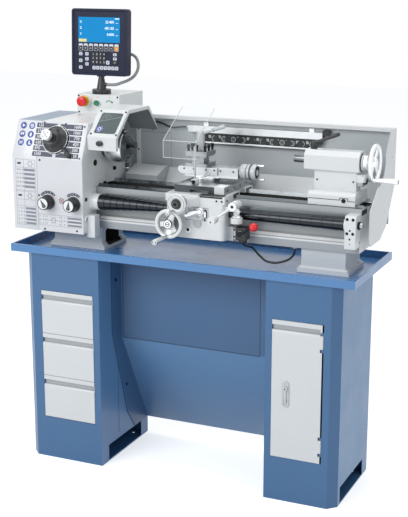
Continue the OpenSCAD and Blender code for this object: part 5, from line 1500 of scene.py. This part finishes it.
# -------- bed and back wall
@dataclass
class Bed:
    """The bed with its ground ways, the leadscrew under its sprung covers, and the end bracket.

    Attributes:
        way_z: height of the flat ways.
        covers: each cover's two ends along the bed and its radius at each.
    """

    way_z: float = 1099.5
    covers: tuple[tuple[float, float, float, float], ...] = ((-396.7, -96.4, 30.0, 13.2),
                                                             (142.4, 584.2, 15.0, 23.0))

    def build(self) -> None:
        """Builds the bed, its fittings and the covers."""
        # Painted light goes on the feet and the right-hand end; painted shade goes between the rails, in the
        # foot's arch and on the ground edges.
        cast("bed", BED_GREY, 0.8, (BED_LIT, self.pale), (SHADE_DARK, self.inside),
             (WAY_STEEL, self.ground), (WAY_SIDE_SHADED, self.ground_side)).piece()
        cast("machine_bolts", BLACK_OXIDE, 0.5).piece()
        cast("leadscrew", SCREW_STEEL, 0.5).piece()
        cast("end_bracket", MACHINE_WHITE, 1.2, (BLACK_OXIDE, self.sunk)).piece()
        self.fittings()
        for side, (x0, x1, r0, r1) in zip(("left", "right"), self.covers):
            self.cover(side, x0, x1, r0, r1)

    def pale(self, middle: Vector, normal: Vector) -> bool:
        """Says whether a face belongs to a foot or to the bed's right-hand end, which are painted light."""
        return middle.z < self.way_z - 160.2 or middle.x > 631 and normal.x > 0.9

    def inside(self, middle: Vector, normal: Vector) -> bool:
        """Says whether a face lies between the two rails or in the arch of the left foot, where shade is
        painted.
        """
        rails = self.way_z - 158 < middle.z < self.way_z - 0.5 and abs(middle.y) < 60 and middle.x < 619
        arch = 860 < middle.z < 925 and abs(middle.y) < 56 and middle.x < -416 and abs(normal.x) < 0.5
        return rails or arch

    def ground(self, middle: Vector, normal: Vector) -> bool:
        """Says whether a face belongs to the ways' ground tops."""
        return middle.z > self.way_z - 8 and normal.z > 0.4 and middle.y > -80

    def ground_side(self, middle: Vector, normal: Vector) -> bool:
        """Says whether a face belongs to the ground edges below the ways, which are painted shade."""
        front = middle.z > self.way_z - 8 and middle.y < -80
        return front or middle.z > self.way_z - 30 and abs(normal.y) > 0.7 and abs(middle.y) > 60

    def sunk(self, middle: Vector, normal: Vector) -> bool:
        """Says whether a face lies inside one of the bracket's screw holes."""
        return -147.2 < middle.y < -137 and 593 < middle.x < 628.5 and 968 < middle.z < 1060

    def fittings(self) -> None:
        """Builds the leadscrew's end nut, the bracket's screws, a painted highlight on the bed's lower ledge,
        the foot's blocks in painted light, and strips of painted shade.
        """
        shape = Shape("bed_fittings", "frame", BLACK_OXIDE)
        at = RIGHT.at(0, *LEADSCREW)
        shape.prism(hexagon(15), (631.2, 640), at, 1.0)
        shape.rod(9, (640, 646), at, 1.0)
        shape.screw(6.4, 5.0, *(FRONT.at(590.5 + dx, -142, 1083 + dz)
                                for dx, dz in ((9, -12.5), (28.5, -12.5), (8.5, -63), (27.5, -63))))
        # A strip along the bed's lower ledge in near-white enamel: a painted highlight.
        shape.use(BED_HIGHLIGHT)
        shape.prism([(-100.5, 966), (-100.9, 972), (-90, 984.5), (-80.5, 984.5), (-80.5, 966)], (-416, 589),
                    RIGHT.value, 1.0)
        # Blocks of the right-hand foot in the lit copy of the enamel: painted light.
        shape.use(BED_LIT).block((574, -55.5, 850), (579.8, 55.5, 926), 0.6)
        shape.block((579, -55.4, 849), (592.8, 55.4, 864.6), 0.6)
        # A dark patch on the bed's right-hand end and a strip under the front way, both painted shade.
        shape.use(SHADE_DARK).block((631.9, -84, 1073), (632.4, -20, 1092), 0.2)
        shape.use(WAY_SIDE_SHADED).block((-386, -106.5, 1066), (588, -100.2, 1078), 0.6)
        shape.piece()

    def cover(self, side: str, x0: float, x1: float, r0: float, r1: float) -> None:
        """Builds one sprung cover as a coil of overlapping turns.

        Args:
            side: left or right of the carriage.
            x0: its left end.
            x1: its right end.
            r0: its outer radius at the left end.
            r1: its outer radius at the right end.
        """
        shape = Shape(f"spiral_cover_{side}", "frame", COVER_STEEL)
        turns = 11
        step = (x1 - x0) / turns
        profile = [(11.6, x0)]
        for k in range(turns):
            low, high = (r0 + (r1 - r0) * (k + j) / turns for j in (0, 1))
            lip = max(low, high)
            start, end = x0 + k * step, x0 + (k + 1) * step
            profile += [(lip - 0.9, start + 0.01), (lip - 0.1, start + 0.5), (lip, end - 1),
                        (lip - 0.9, end - 0.4)]
        shape.turned(profile + [(11.6, x1)], RIGHT.at(0, *LEADSCREW), 48, True)
        made = shape.piece("screw_covers") if side == "left" else shape.piece()
        made.parent = None
        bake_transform(made)


@dataclass
class BackWall:
    """The splash guard behind the bed, with the lamp along it.

    Attributes:
        wall_y: inner face of the wall.
        top: its upper edge.
        ends: its two ends along the bed.
        lamp: the lamp's two ends.
        lamp_y: its front face.
    """

    wall_y: float = 215.0
    top: float = 1351.5
    ends: Pair = (-407.0, 664.0)
    lamp: Pair = (-171.0, 388.0)
    lamp_y: float = 194.6

    def build(self) -> None:
        """Builds the wall, its seams and screws, and the lamp."""
        # The splash guard's wall is painted shade: the guard's enamel made darker, with its top, lip and shelf
        # in the plain white.
        cast("splash_guard", GUARD_SHADED, 0.8, (GUARD_WHITE, self.outer), (GUARD_PALE_LIT, self.end_plate)).piece()
        self.seams()
        self.light()

    def outer(self, middle: Vector, normal: Vector) -> bool:
        """Says whether a face is on top of the wall, on its front lip or on the low shelf."""
        lip = middle.z > self.top - 15 and normal.y < -0.5 and middle.y < self.wall_y - 20
        shelf = middle.z < self.wall_y + 935 and normal.z > 0.3
        return normal.z > 0.7 and middle.z > self.top - 6 or lip or shelf

    def end_plate(self, middle: Vector, normal: Vector) -> bool:
        """Says whether a face is on the plate at the tailstock's end, which is painted light."""
        return middle.x > self.ends[1] - 3 and abs(normal.x) > 0.5

    def seams(self) -> None:
        """Builds the wall behind the headstock, the sheets' joints, the channel and the screws."""
        y, x0 = self.wall_y - 0.5, self.ends[0]
        shape = Shape("wall_seams", "frame", SEAM_GREY)
        shape.block((x0 + 18, y, 1277.4), (x0 + 150, y + 0.4, 1278.6))
        shape.block((x0 + 150, y, 1145), (x0 + 151, y + 0.4, 1278.6))
        back, brim = self.wall_y + 2, self.top - 4
        # The wall behind the headstock, in the shaded copy of the guard's enamel: painted shade.
        shape.use(GUARD_SHADED).block((-439, self.wall_y, 1147), (x0 + 1, back, brim), 0.3)
        shape.block((-470, self.wall_y, 1267), (-438.5, back, brim), 0.3)
        for x, top in ((-439, (216, 1149)), (-470, (199.3, 1123.6))):
            shape.prism([top, (top[0] - 1.6, top[1] + 1), (148, 1044.5), (149.6, 1043.5)], (x, x + 32.8),
                        RIGHT.value)
        # The channel at the wall's left end, in the lit copy of the enamel: painted light.
        shape.use(GUARD_PALE_LIT).block((x0 - 1, y - 10, 1142), (x0 + 19, y - 7.4, 1300), 0.8)
        shape.use(BLACK_OXIDE)
        edge = x0 + 9
        for x, z in ((edge, 1290), (edge, 1206), (x0 + 70, 1289), (x0 - 20, 1297), (90, 1338), (470, 1338)):
            shape.screw(3.4, 2.0, FRONT.at(x, y - (10 if x == edge else -0.4), z))
        spots = ((-70, 1105), (90, 1060), (170, 1250))
        shape.screw(3.4, 2.0, *(RIGHT.at(self.ends[1], *spot) for spot in spots))
        shape.piece()

    def light(self) -> None:
        """Builds the lamp: a pale bar, a black channel and a row of lenses."""
        cast("work_lamp", ALUMINIUM, 0.8,
             (BLACK_PLASTIC,
              lambda middle, normal: middle.z < 1292.4 or middle.x > self.lamp[1] - 0.5)).piece()
        y = self.lamp_y
        shape = Shape("lamp_lenses", "frame", LAMP_DARK)
        x0, x1 = self.lamp
        shape.block((x0 + 40, y - 0.8, 1258.5), (x1 - 14, y + 0.2, 1289.5), 0.3)
        shape.use(ALUMINIUM).block((x0 + 2, y - 2.4, 1291), (x1 - 4, y + 0.2, 1305), 0.8)
        shape.block((x0 + 30, y - 2.4, 1250.5), (x1 - 12, y + 0.2, 1257), 0.6)
        first, pitch = -66, 40.5
        for k in range(11):
            x = first + k * pitch
            at = FRONT.at(x + 8, y - 0.8, 1271.5)
            shape.use(LENS_RIM).hoop(8.6, 10.6, (0, 1.6), at, 32)
            shape.use(LENS).disc(8.6, (0, 0.6), at, 24)
            shape.use(LENS_RIM).block((x - 17, y - 1.2, 1272), (x - 6, y - 0.8, 1283), 0.1)
        shape.piece()


# -------- carriage
@dataclass
class Carriage:
    """The saddle, the apron with its controls, and the slides.

    Attributes:
        apron_y: front face of the apron.
        wheel: middle of the apron handwheel's back face.
        cross: middle of the cross handwheel's back face.
        post: the tool post's axis, as (x, y).
        dial: the thread dial's axis, as (x, y).
        pivot: middle of the half-nut lever's boss.
        top_wheel: middle of the top slide handwheel's back face.
        shield: the chip shield's two sides along the bed.
        shield_y: its front face.
    """

    apron_y: float = -170.0
    wheel: Place = (-62.0, -184.3, 1009.5)
    cross: Place = (-14.0, -216.3, 1094.5)
    post: Pair = (-30.0, 0.0)
    dial: Pair = (187.0, -164.0)
    pivot: Place = (186.0, -204.3, 1091.5)
    top_wheel: Place = (136.3, 0.0, 1184.5)
    shield: Pair = (-138.0, -3.0)
    shield_y: float = -102.0

    def build(self) -> None:
        """Builds the carriage from the saddle up."""
        for node, finish, edge in (("saddle", MACHINE_WHITE, 1.5), ("apron", MACHINE_WHITE, 1.8),
                                   ("compound_base", GROUND_X, 0.7), ("top_slide", GROUND_X, 0.7),
                                   ("thread_dial", WHEEL_WHITE, 1.5)):
            cast(node, finish, edge).piece()
        # The cross slide's front is painted shade and its right-hand side is painted light.
        cast("cross_slide", GROUND_Y, 0.7, (SLIDE_FRONT_SHADED, lambda middle, normal: normal.y < -0.5),
             (SLIDE_SIDE_LIT, lambda middle, normal: normal.x > 0.5)).piece()
        self.apron()
        self.apron_wheel()
        self.cross_wheel()
        self.levers()
        self.switch()
        self.compound()
        self.tool_post()
        self.chip_shield()

    def apron(self) -> None:
        """Builds the apron's printed plate, its plugs and screws."""
        shape = Shape("apron_trim", "carriage", PRINT_DARK)
        y = self.apron_y - 4.2
        shape.block((-12, y, 1023), (75, y + 0.1, 1072))
        shape.use(MACHINE_WHITE).block((-10.6, y - 0.1, 1024.4), (73.6, y, 1070.6))
        shape.use(PRINT_DARK)
        slot_at = FRONT.at(67, y, 1048)
        plug, oil = FRONT.at(-4, self.apron_y, 984), FRONT.at(34, self.apron_y, 1010)
        for x, z, r in ((4, 1060, 5.5), (4, 1040, 5.5), (24, 1062, 4.5), (38, 1036, 5.5)):
            shape.hoop(r - 1.5, r, (0.1, 0.3), FRONT.at(x, y, z), 20)
        for x, z in ((4, 1048), (22, 1050), (40, 1058), (58, 1030)):
            shape.block((x - 7, y - 0.3, z - 1), (x + 7, y - 0.1, z + 1))
        shape.use(BLACK_OXIDE)
        for x, z, r in ((54, 1066, 4.2), (69, 1064, 3.0), (66, 1028, 3.4)):
            shape.screw(r, 2.5, FRONT.at(x, y, z))
        shape.prism(rounded(15, 30, 7.4), (0, 1.4), slot_at, 0.6)
        shape.use(SATIN_CHROME).prism(rounded(9, 23, 4.4), (1.0, 3.4), slot_at, 0.8)
        shape.hoop(6.5, 10, (0, 2.4), plug, 40)
        shape.use(BLACK_OXIDE).screw(6.5, 2.0, plug)
        shape.use(MACHINE_SHADE).rod(17, (0, 2.6), oil, 1.0, 48)
        shape.hoop(9, 14, (2.6, 3.4), oil, 40)
        shape.use(BLACK_PLASTIC)
        for x in (-96.4, 140.6):
            for near, far in ((-88, -36), (36, 88)):
                shape.block((x, near, 1099.9), (x + 1.8, far, 1113), 0.5)
        shape.use(BLACK_OXIDE).screw(3.4, 2.2, *(FRONT.at(x, self.apron_y, 1100) for x in (110, 131)))
        shape.screw(3.6, 2.4, RIGHT.at(142, -150, 1100))
        # Dark plates on the saddle's top and front edge under the cross slide: painted shade.
        shape.use(SHADE_DARK).block((36, -168.6, 1110.5), (134, -130.4, 1116.2), 0.4)
        shape.block((37, -170.6, 1109), (133, -168, 1115), 0.4)
        shape.piece()
        gib = Shape("cross_gib", "cross_slide", MACHINE_WHITE)
        gib.block((84, -133, 1117), (123.8, -129.6, 1145.4), 1.2)
        gib.block((84, -131, 1141.4), (123.8, -78, 1145.4), 1.2)
        gib.use(BLACK_OXIDE).screw(3.2, 1.6, *(RIGHT.at(124, y, 1128) for y in (-100, -40, 20, 80, 140)))
        gib.piece()

    def apron_wheel(self) -> None:
        """Builds the apron handwheel, dished, with three windows and its crank handle."""
        at = FRONT.at(*self.wheel)
        shape = Shape("apron_wheel_finished", "apron_wheel", WHEEL_WHITE)
        shape.rim(49, 7, 30.4, at, 96)
        shape.turned([(0, 0.3), (20, 0.3), (20, 8), (17, 10), (17, 37), (15.5, 38.5), (0, 38.5)], at, 64)
        for k in range(3):
            arm = at @ spin(98 + 120 * k, "Z")
            shape.prism([(-13, 14), (13, 14), (9, 30), (12, 45), (-12, 45), (-9, 30)], (20, 27), arm, 2.0)
        shape.turned([(15, 14), (28, 15.5), (42, 23.5), (45, 27), (43, 28.5), (27, 20.5), (15, 19)],
                     at, 96, True)
        shape.use(SATIN_CHROME).rod(15, (38.4, 41.5), at, 0.8, 48)
        shape.use(BLACK_OXIDE).hoop(15, 17.2, (37, 39), at, 48)
        shape.hoop(6.5, 9, (41.5, 42), at, 32)
        shape.block((-6, -1.2, 41.5), (6, 1.2, 42), at=at)
        shape.use(DIAL_CHROME_Y).rod(24, (0.2, 12), at, 0.8, 64)
        shape.turned([(17.2, 18.2), (28, 20.3), (41.5, 28), (41.5, 29), (28, 21.4), (17.2, 19.4)],
                     at, 96, True)
        shape.handle(at @ shift(-7, -48, 0), (30, 6), (60, 138), 10.5)
        shape.piece("apron_handwheel")

    def cross_wheel(self) -> None:
        """Builds the cross handwheel with its graduated dial."""
        at = FRONT.at(*self.cross)
        shape = Shape("cross_wheel_finished", "cross_wheel", DIAL_CHROME_Y)
        shape.turned([(0, 0.4), (26, 0.4), (27, 1.4), (27, 19), (26, 20.5), (22, 22), (22, 26), (0, 26)],
                     at, 72)
        shape.rod(8, (-60, 1), at)
        shape.use(WHEEL_WHITE).rim(31, 7, 31, at, 72)
        shape.turned([(17, 25), (26, 24.5), (31, 28), (31, 36), (26, 37.6), (17, 33)], at, 72, True)
        shape.use(BLACK_PLASTIC)
        shape.turned([(0, 24), (17.4, 24), (17.4, 33.5), (18.6, 36), (17, 41), (13, 44), (0, 44)], at, 48)
        shape.use(BLACK_OXIDE).screw(7, 2.0, at @ shift(0, 0, 44))
        shape.use(DIAL_CHROME_Y).hoop(8.2, 9.6, (43.6, 44.8), at, 40)
        shape.use(PRINT_DARK).hoop(31.2, 32.6, (35, 38.2), at, 72)
        shape.ticks(range(0, 360, 6), (26.6, 27.15), (1.6, 7), at, 4)
        shape.handle(at @ shift(-8, -26, 0), (36, 3.8), (42, 98), 8)
        shape.piece("cross_handwheel")

    def levers(self) -> None:
        """Builds the feed lever, the half-nut lever and the thread dial."""
        dial = Shape("thread_dial_trim", "carriage", SATIN_CHROME)
        axis, pivot = UP.at(*self.dial, 0), FRONT.at(*self.pivot)
        dial.turned([(0, 1044.5), (15, 1044.5), (17, 1046), (17, 1048), (14, 1051), (0, 1052)], axis, 48)
        dial.use(BLACK_OXIDE).disc(4.5, (1052, 1052.3), axis, 24)
        dial.use(MACHINE_SHADE)
        for k in range(8):
            dial.block((21.6, -0.8, 1026), (22.3, 0.8, 1040), at=axis @ spin(45 * k, "Z"))
        dial.use(PRINT_DARK).disc(2.6, (0, 0.3), FRONT.at(198, -190, 1096), 16)
        dial.piece()
        lever = cast("half_nut_lever", WHEEL_WHITE, 1.6)
        lever.use(BLACK_OXIDE).disc(3, (0, 0.4), FRONT.at(122, -252.3, 1039), 16)
        lever.use(SATIN_CHROME).hoop(9, 13.5, (0, 1.0), pivot, 40)
        lever.use(BLACK_OXIDE).screw(5, 1.6, pivot)
        lever.piece()
        lever = cast("feed_lever", SATIN_CHROME, 1.2)
        at = FRONT.at(52, self.apron_y - 4.3, 1059.5)
        lever.rod(14.5, (0.6, 20), at, 2.0, 48)
        lever.turned([(0, 4), (6.5, 4), (7, 14), (9.4, 38), (9.4, 56), (7.6, 60), (0, 61)],
                     at @ shift(0, 0, 9) @ spin(104, "Z") @ spin(-62, "X"), 40)
        lever.use(BLACK_OXIDE).hoop(8.5, 10.5, (20, 20.5), at, 40)
        lever.piece()

    def switch(self) -> None:
        """Builds the control switch, its bracket's screws and its red lever."""
        box = cast("control_switch", BLACK_PLASTIC, 2.5)
        box.repaint(MACHINE_WHITE, lambda middle, normal: middle.x < 184.4)
        box.use(BLACK_OXIDE).screw(3.4, 2.2, *(FRONT.at(x, -128, z) for x, z in ((164, 964), (164, 990))))
        box.use(MACHINE_SHADE).rod(11, (0, 1.6), FRONT.at(204, -168, 986.5), 0.6)
        box.use(BLACK_PLASTIC).rod(15, (948, 963), UP.at(204, -142, 0), 3.0, 40)
        box.piece()
        cast("control_lever", RED_PLASTIC, 0.8,
             (BLACK_OXIDE,
              lambda middle, normal: (middle - Vector((257.7, -174, 1017.5))).length > 17.5)).piece()

    def compound(self) -> None:
        """Builds the compound slide and its handwheel, with their scales and screws."""
        trim = Shape("compound_trim", "compound", BLACK_OXIDE)
        trim.screw(3.4, 1.6, *(FRONT.at(x, -32, 1186) for x in (66, 118)))
        trim.use(PRINT_DARK)
        for k in range(-30, 31):
            low = 1146 if k % 5 else 1144
            trim.block((52, -TICK, low), (52.3, TICK, 1154), at=UP.at(-6, 0, 0) @ spin(k * 3 - 90, "Z"))
        trim.piece()
        slide = Shape("top_slide_trim", "top_slide", BLACK_OXIDE)
        slide.screw(3.2, 1.6, *(FRONT.at(x, -40, 1188) for x in (-80, -40, 10, 44)))
        slide.piece()
        at = RIGHT.at(*self.top_wheel)
        wheel = Shape("top_wheel_finished", "top_wheel", LATCH_GREY)
        wheel.turned([(0, 0.4), (24, 0.4), (28.6, 6), (29, 7), (29, 26), (28, 27.5), (27.4, 27.5), (27.4, 29),
                      (29, 30), (29, 38.5), (27.5, 40), (25, 40.5), (25, 47.5), (29, 48.2), (30.6, 49.5),
                      (31, 51), (31, 63), (30, 65.4), (26, 66), (24, 62), (12, 61), (11, 66), (0, 66.5)],
                     at, 72)
        wheel.rod(6, (-90, 1), at)
        wheel.use(PRINT_DARK)
        for x in (27.4, 40.2):
            wheel.hoop(27, 29.1, (x, x + 1.8), at, 64)
        wheel.use(BLACK_OXIDE).rod(23, (60, 64), at, 0.6, 48)
        wheel.use(PRINT_DARK).ticks((7.2 * k for k in range(50)), (28.6, 29.15), (8, 13), at, 4)
        for side in (-1, 1):
            wheel.handle(at @ shift(0, side * 26, 0), (64, 2.6), (68, 92), 4.4)
        wheel.piece("top_handwheel")

    def tool_post(self) -> None:
        """Builds the tool post, its screws and its clamping lever."""
        x, y = self.post
        cast("tool_post", POST_STEEL, 1.0, (BLACK_OXIDE, lambda middle, normal: middle.z > 1254.8)).piece()
        lever = Shape("post_lever_finished", "post_lever", LATCH_GREY)
        at = UP.at(x, y, 0)
        lever.turned([(0, 1190), (10, 1190), (10, 1254.9), (19, 1255.4), (20, 1256.6), (19.4, 1262),
                      (16.2, 1266.5), (16, 1268), (16, 1318), (15, 1324), (11, 1327.6), (0, 1328.5)], at, 64)
        arm = shift(x, y, 1314.5) @ spin(-20, "Y") @ RIGHT.value
        lever.rod(5, (10, 54), arm, 0.5)
        lever.turned([(0, 50), (6.4, 50), (7, 51.5), (7, 55), (6, 56.5), (6, 58), (7.4, 60), (8.2, 96),
                      (7.6, 102.5), (5.5, 105.6), (0, 106)], arm, 40)
        lever.use(BLACK_OXIDE).hoop(5.9, 6.6, (56.5, 58), arm, 32)
        lever.piece("post_lever")

    def chip_shield(self) -> None:
        """Builds the clear chip shield, its edges painted as highlights, and its rod."""
        (x0, x1), y = self.shield, self.shield_y
        low, fold, top = 1234.5, 1299.5, 1407.5
        shape = Shape("chip_shield_finished", "cross_slide", CLEAR)
        bend = [(y, low), (y, fold), (y + 172, top), (y + 173.6, top - 2.6), (y + 3, fold - 1.9),
                (y + 3, low)]
        shape.prism(bend, (x0, x1), RIGHT.value, 0.3)
        # The sheet's edges and fold in near white: a painted highlight.
        shape.use(EDGE_HIGHLIGHT)
        edge = [(y - 0.1, low - 0.1), (y - 0.1, fold + 0.1), (y + 171.9, top + 0.2), (y + 173.7, top - 2.7),
                (y + 3.1, fold - 2), (y + 3.1, low - 0.1)]
        for x in (x0 - 0.2, x1 - 0.8):
            shape.prism(edge, (x, x + 1.0), RIGHT.value)
        shape.block((x0, y - 0.3, fold - 0.9), (x1, y + 0.9, fold + 0.9))
        shape.block((x0, y - 0.2, low - 0.3), (x1, y + 3.2, low + 0.9))
        shape.use(LATCH_GREY).rod(4, (1152, 1293), UP.at(-10, -95, 0), 0.6)
        shape.use(MACHINE_WHITE).block((-20, -106, 1142.6), (0, -84, 1160.5), 1.4)
        shape.use(BLACK_OXIDE).rod(7, (0, 9), FRONT.at(-10, -106, 1152), 1.0)
        shape.use(BLACK_PLASTIC).block((-16, -99, 1283), (-4, -91, 1293.5), 1.0)
        shape.piece("chip_shield")


# -------- tailstock
@dataclass
class Tailstock:
    """The tailstock with its quill, handwheel and lock.

    Attributes:
        lock_x: where the quill's lock stands.
        nose: its left-hand face, where the quill comes out.
        back: its right-hand face.
        base_y: front face of its base.
    """

    lock_x: float = 421.0
    nose: float = 397.2
    back: float = 603.0
    base_y: float = -76.2

    def build(self) -> None:
        """Builds the tailstock and what moves in it."""
        cast("tailstock", MACHINE_WHITE, 1.8).piece()
        cast("quill", SPUN_X, 0.6).piece()
        self.fittings()
        self.wheel()
        self.lock()

    def fittings(self) -> None:
        """Builds the screws, the seam of the base, the clamp block and the rings round the quill."""
        shape = Shape("tailstock_trim", "tailstock", BLACK_OXIDE)
        shape.screw(3.2, 1.8, *(FRONT.at(x, -25, 1182) for x in (444, 580)))
        shape.screw(7.5, 4.0, FRONT.at(561, -75, 1121))
        for x0, z0, x1, z1 in ((428, 1122.2, 546, 1124), (546, 1122.2, 547.6, 1131), (546, 1129.4, 577, 1131),
                               (575.4, 1119.4, 577, 1131), (575.4, 1119.4, 602, 1121)):
            shape.block((x0, self.base_y, z0), (x1, self.base_y + 1.6, z1))
        axis = RIGHT.at(0, 0, SPINDLE_Z)
        shape.hoop(30, 32.5, (self.back, self.back + 3), axis, 64)
        shape.use(POST_STEEL).block((591.2, -22, 1165), (614, 22, 1204), 3.0)
        shape.use(BLACK_OXIDE).prism(hexagon(13), (614, 623), RIGHT.at(0, 0, 1184), 1.0)
        shape.use(SATIN_CHROME).hoop(15.2, 19, (self.nose - 1, self.nose), axis, 48)
        shape.piece()

    def wheel(self) -> None:
        """Builds the handwheel: a turned hub, four spokes, a round rim and a crank handle."""
        at = RIGHT.at(self.back + 9.3, 0, SPINDLE_Z)
        shape = Shape("tail_wheel_finished", "tail_wheel", SATIN_CHROME)
        shape.turned([(0, 0.4), (27, 0.4), (28, 1.4), (28, 5), (26.6, 5.8), (26.6, 7), (28, 7.8), (28, 12.6),
                      (26.5, 14), (19, 14.6), (15, 18), (15, 30), (18, 33), (19, 36), (19, 43), (17, 45),
                      (8, 45), (7, 48), (0, 48.5)], at, 72)
        shape.rod(8, (-100, 1), at)
        shape.rim(63, 8, 38, at, 120)
        for k in range(4):
            arm = at @ spin(45 + 90 * k, "Z")
            shape.prism([(-10, 14), (10, 14), (7.5, 34), (10, 60), (-10, 60), (-7.5, 34)], (31, 38), arm, 2.6)
        shape.use(PRINT_DARK).ticks((7.2 * k for k in range(50)), (27.6, 28.15), (8.2, 12.4), at)
        shape.handle(at @ shift(-40, -53, 0), (44, 5), (55, 135.4), 10.5)
        shape.piece("tail_handwheel")

    def lock(self) -> None:
        """Builds the quill's lock: a black ribbed clamping lever."""
        shape = Shape("quill_lock_finished", "quill_lock", BLACK_PLASTIC)
        at = UP.at(self.lock_x, 0, 0)
        shape.rod(6, (1265, 1292), at)
        shape.turned([(0, 1290), (12.6, 1290), (13, 1291), (11.6, 1312), (10, 1315.4),
                      (7, 1317), (0, 1317.6)],
                     at, 48)
        arm = shift(self.lock_x, 0, 1309.5) @ spin(-22, "Y") @ RIGHT.value
        shape.turned([(0, -6), (8, -4), (8.6, 2), (6.2, 14), (5.6, 40), (6.4, 66), (7.6, 88), (6.8, 99),
                      (4, 103.4), (0, 104)], arm, 32)
        shape.use(BLACK_OXIDE).screw(5, 1.6, UP.at(self.lock_x, 0, 1317))
        shape.piece("quill_lock")


# -------- stand
@dataclass
class Stand:
    """The two cabinets, the panel between them and the chip tray.

    Attributes:
        front: front faces of the cabinets.
        inner: the cabinets' sides that face each other.
        top: their upper edge.
        rear_y: front face of the panel between them.
        latch_at: middle of the door's latch.
    """

    front: float = -228.0
    inner: Pair = (-355.8, 328.9)
    top: float = 800.0
    rear_y: float = -50.1
    latch_at: Pair = (412.0, 423.0)

    def build(self) -> None:
        """Builds the cabinets, the tray, the drawers and the door."""
        for side in ("cabinet_left", "cabinet_right"):
            # The cabinets' right-hand sides are painted light.
            cast(side, STAND_BLUE, 1.2, (STAND_SIDE_LIT, lambda middle, normal: normal.x > 0.9)).piece()
        # The rear panel is painted shade, and its lower slope is painted light.
        cast("rear_panel", REAR_SHADED, 0.8,
             (REAR_LOW_LIT, lambda middle, normal: normal.z < -0.2 and middle.z < 488)).piece()
        cast("chip_tray", TRAY_BLUE, 1.0).piece()
        for node in ("drawer_top", "drawer_middle", "drawer_bottom", "cabinet_door"):
            cast(node, DRAWER_GREY, 0.8, (GRIP_SHADE, self.grip)).piece()
        self.latch()
        self.trim()

    def grip(self, middle: Vector, normal: Vector) -> bool:
        """Says whether a face lies inside a grip channel, which is painted shade."""
        return self.front + 0.4 < middle.y < self.front + 10.8 and abs(normal.x) < 0.3 and normal.y < 0.2 and (
            normal.z < -0.3 or middle.y > self.front + 3)

    def latch(self) -> None:
        """Builds the door's swing latch."""
        shape = cast("door_latch", LATCH_GREY, 0.8)
        x, z = self.latch_at
        at = FRONT.at(x, self.front - 6, z)
        knob = at @ shift(0, 22, 0)
        shape.turned([(0, 0), (8.5, 0), (9.5, 1.4), (9.5, 4.5), (8, 6), (0, 6.4)], knob, 40)
        shape.prism(rounded(10, 54, 4.9, 6, (0, -8)), (0, 3.6), at, 1.4)
        shape.use(BLACK_OXIDE).disc(2.6, (6.4, 6.6), knob, 16)
        shape.piece()

    def trim(self) -> None:
        """Builds the seams and edge lines of the sheets, and the bolts between them."""
        shape = Shape("stand_trim", "frame", STAND_SEAM)
        for x0, z0, x1, z1 in ((-346, 485, 240, 487.4), (-347, 485, -345, self.top),
                               (238, 486, 240, self.top)):
            shape.block((x0, self.rear_y - 0.4, z0), (x1, self.rear_y, z1))
        for x in self.inner:
            shape.block((x - 0.4, -84, 90), (x + 0.4, -82.6, self.top))
        edge = [(-129, 845), (-129, 521), (-14, 155), (50, 71), (52, 71), (-12, 155.5), (-127, 521.5),
                (-127, 845)]
        left, right = self.inner
        shape.prism(edge, (left - 0.1, left + 1.4), RIGHT.value)
        shape.use(BLACK_OXIDE)
        for y, z in ((-95, 734), (-18, 276)):
            for at in (RIGHT.at(left + 0.2, y, z), shift(right - 0.3, y, z) @ spin(-90, "Y")):
                shape.hex_head(6.5, 5.0, at)
        shape.piece()


# -------- main
def main() -> None:
    """Builds the room, the cords and every sub-assembly in order."""
    Studio().build()
    for cord in CORDS:
        cord.build()
    Headstock().build()
    Chuck().build()
    Console().build()
    Bed().build()
    BackWall().build()
    Carriage().build()
    Tailstock().build()
    Stand().build()


if __name__ == "__main__":
    logging.basicConfig(level=logging.INFO, format="%(message)s")
    main()
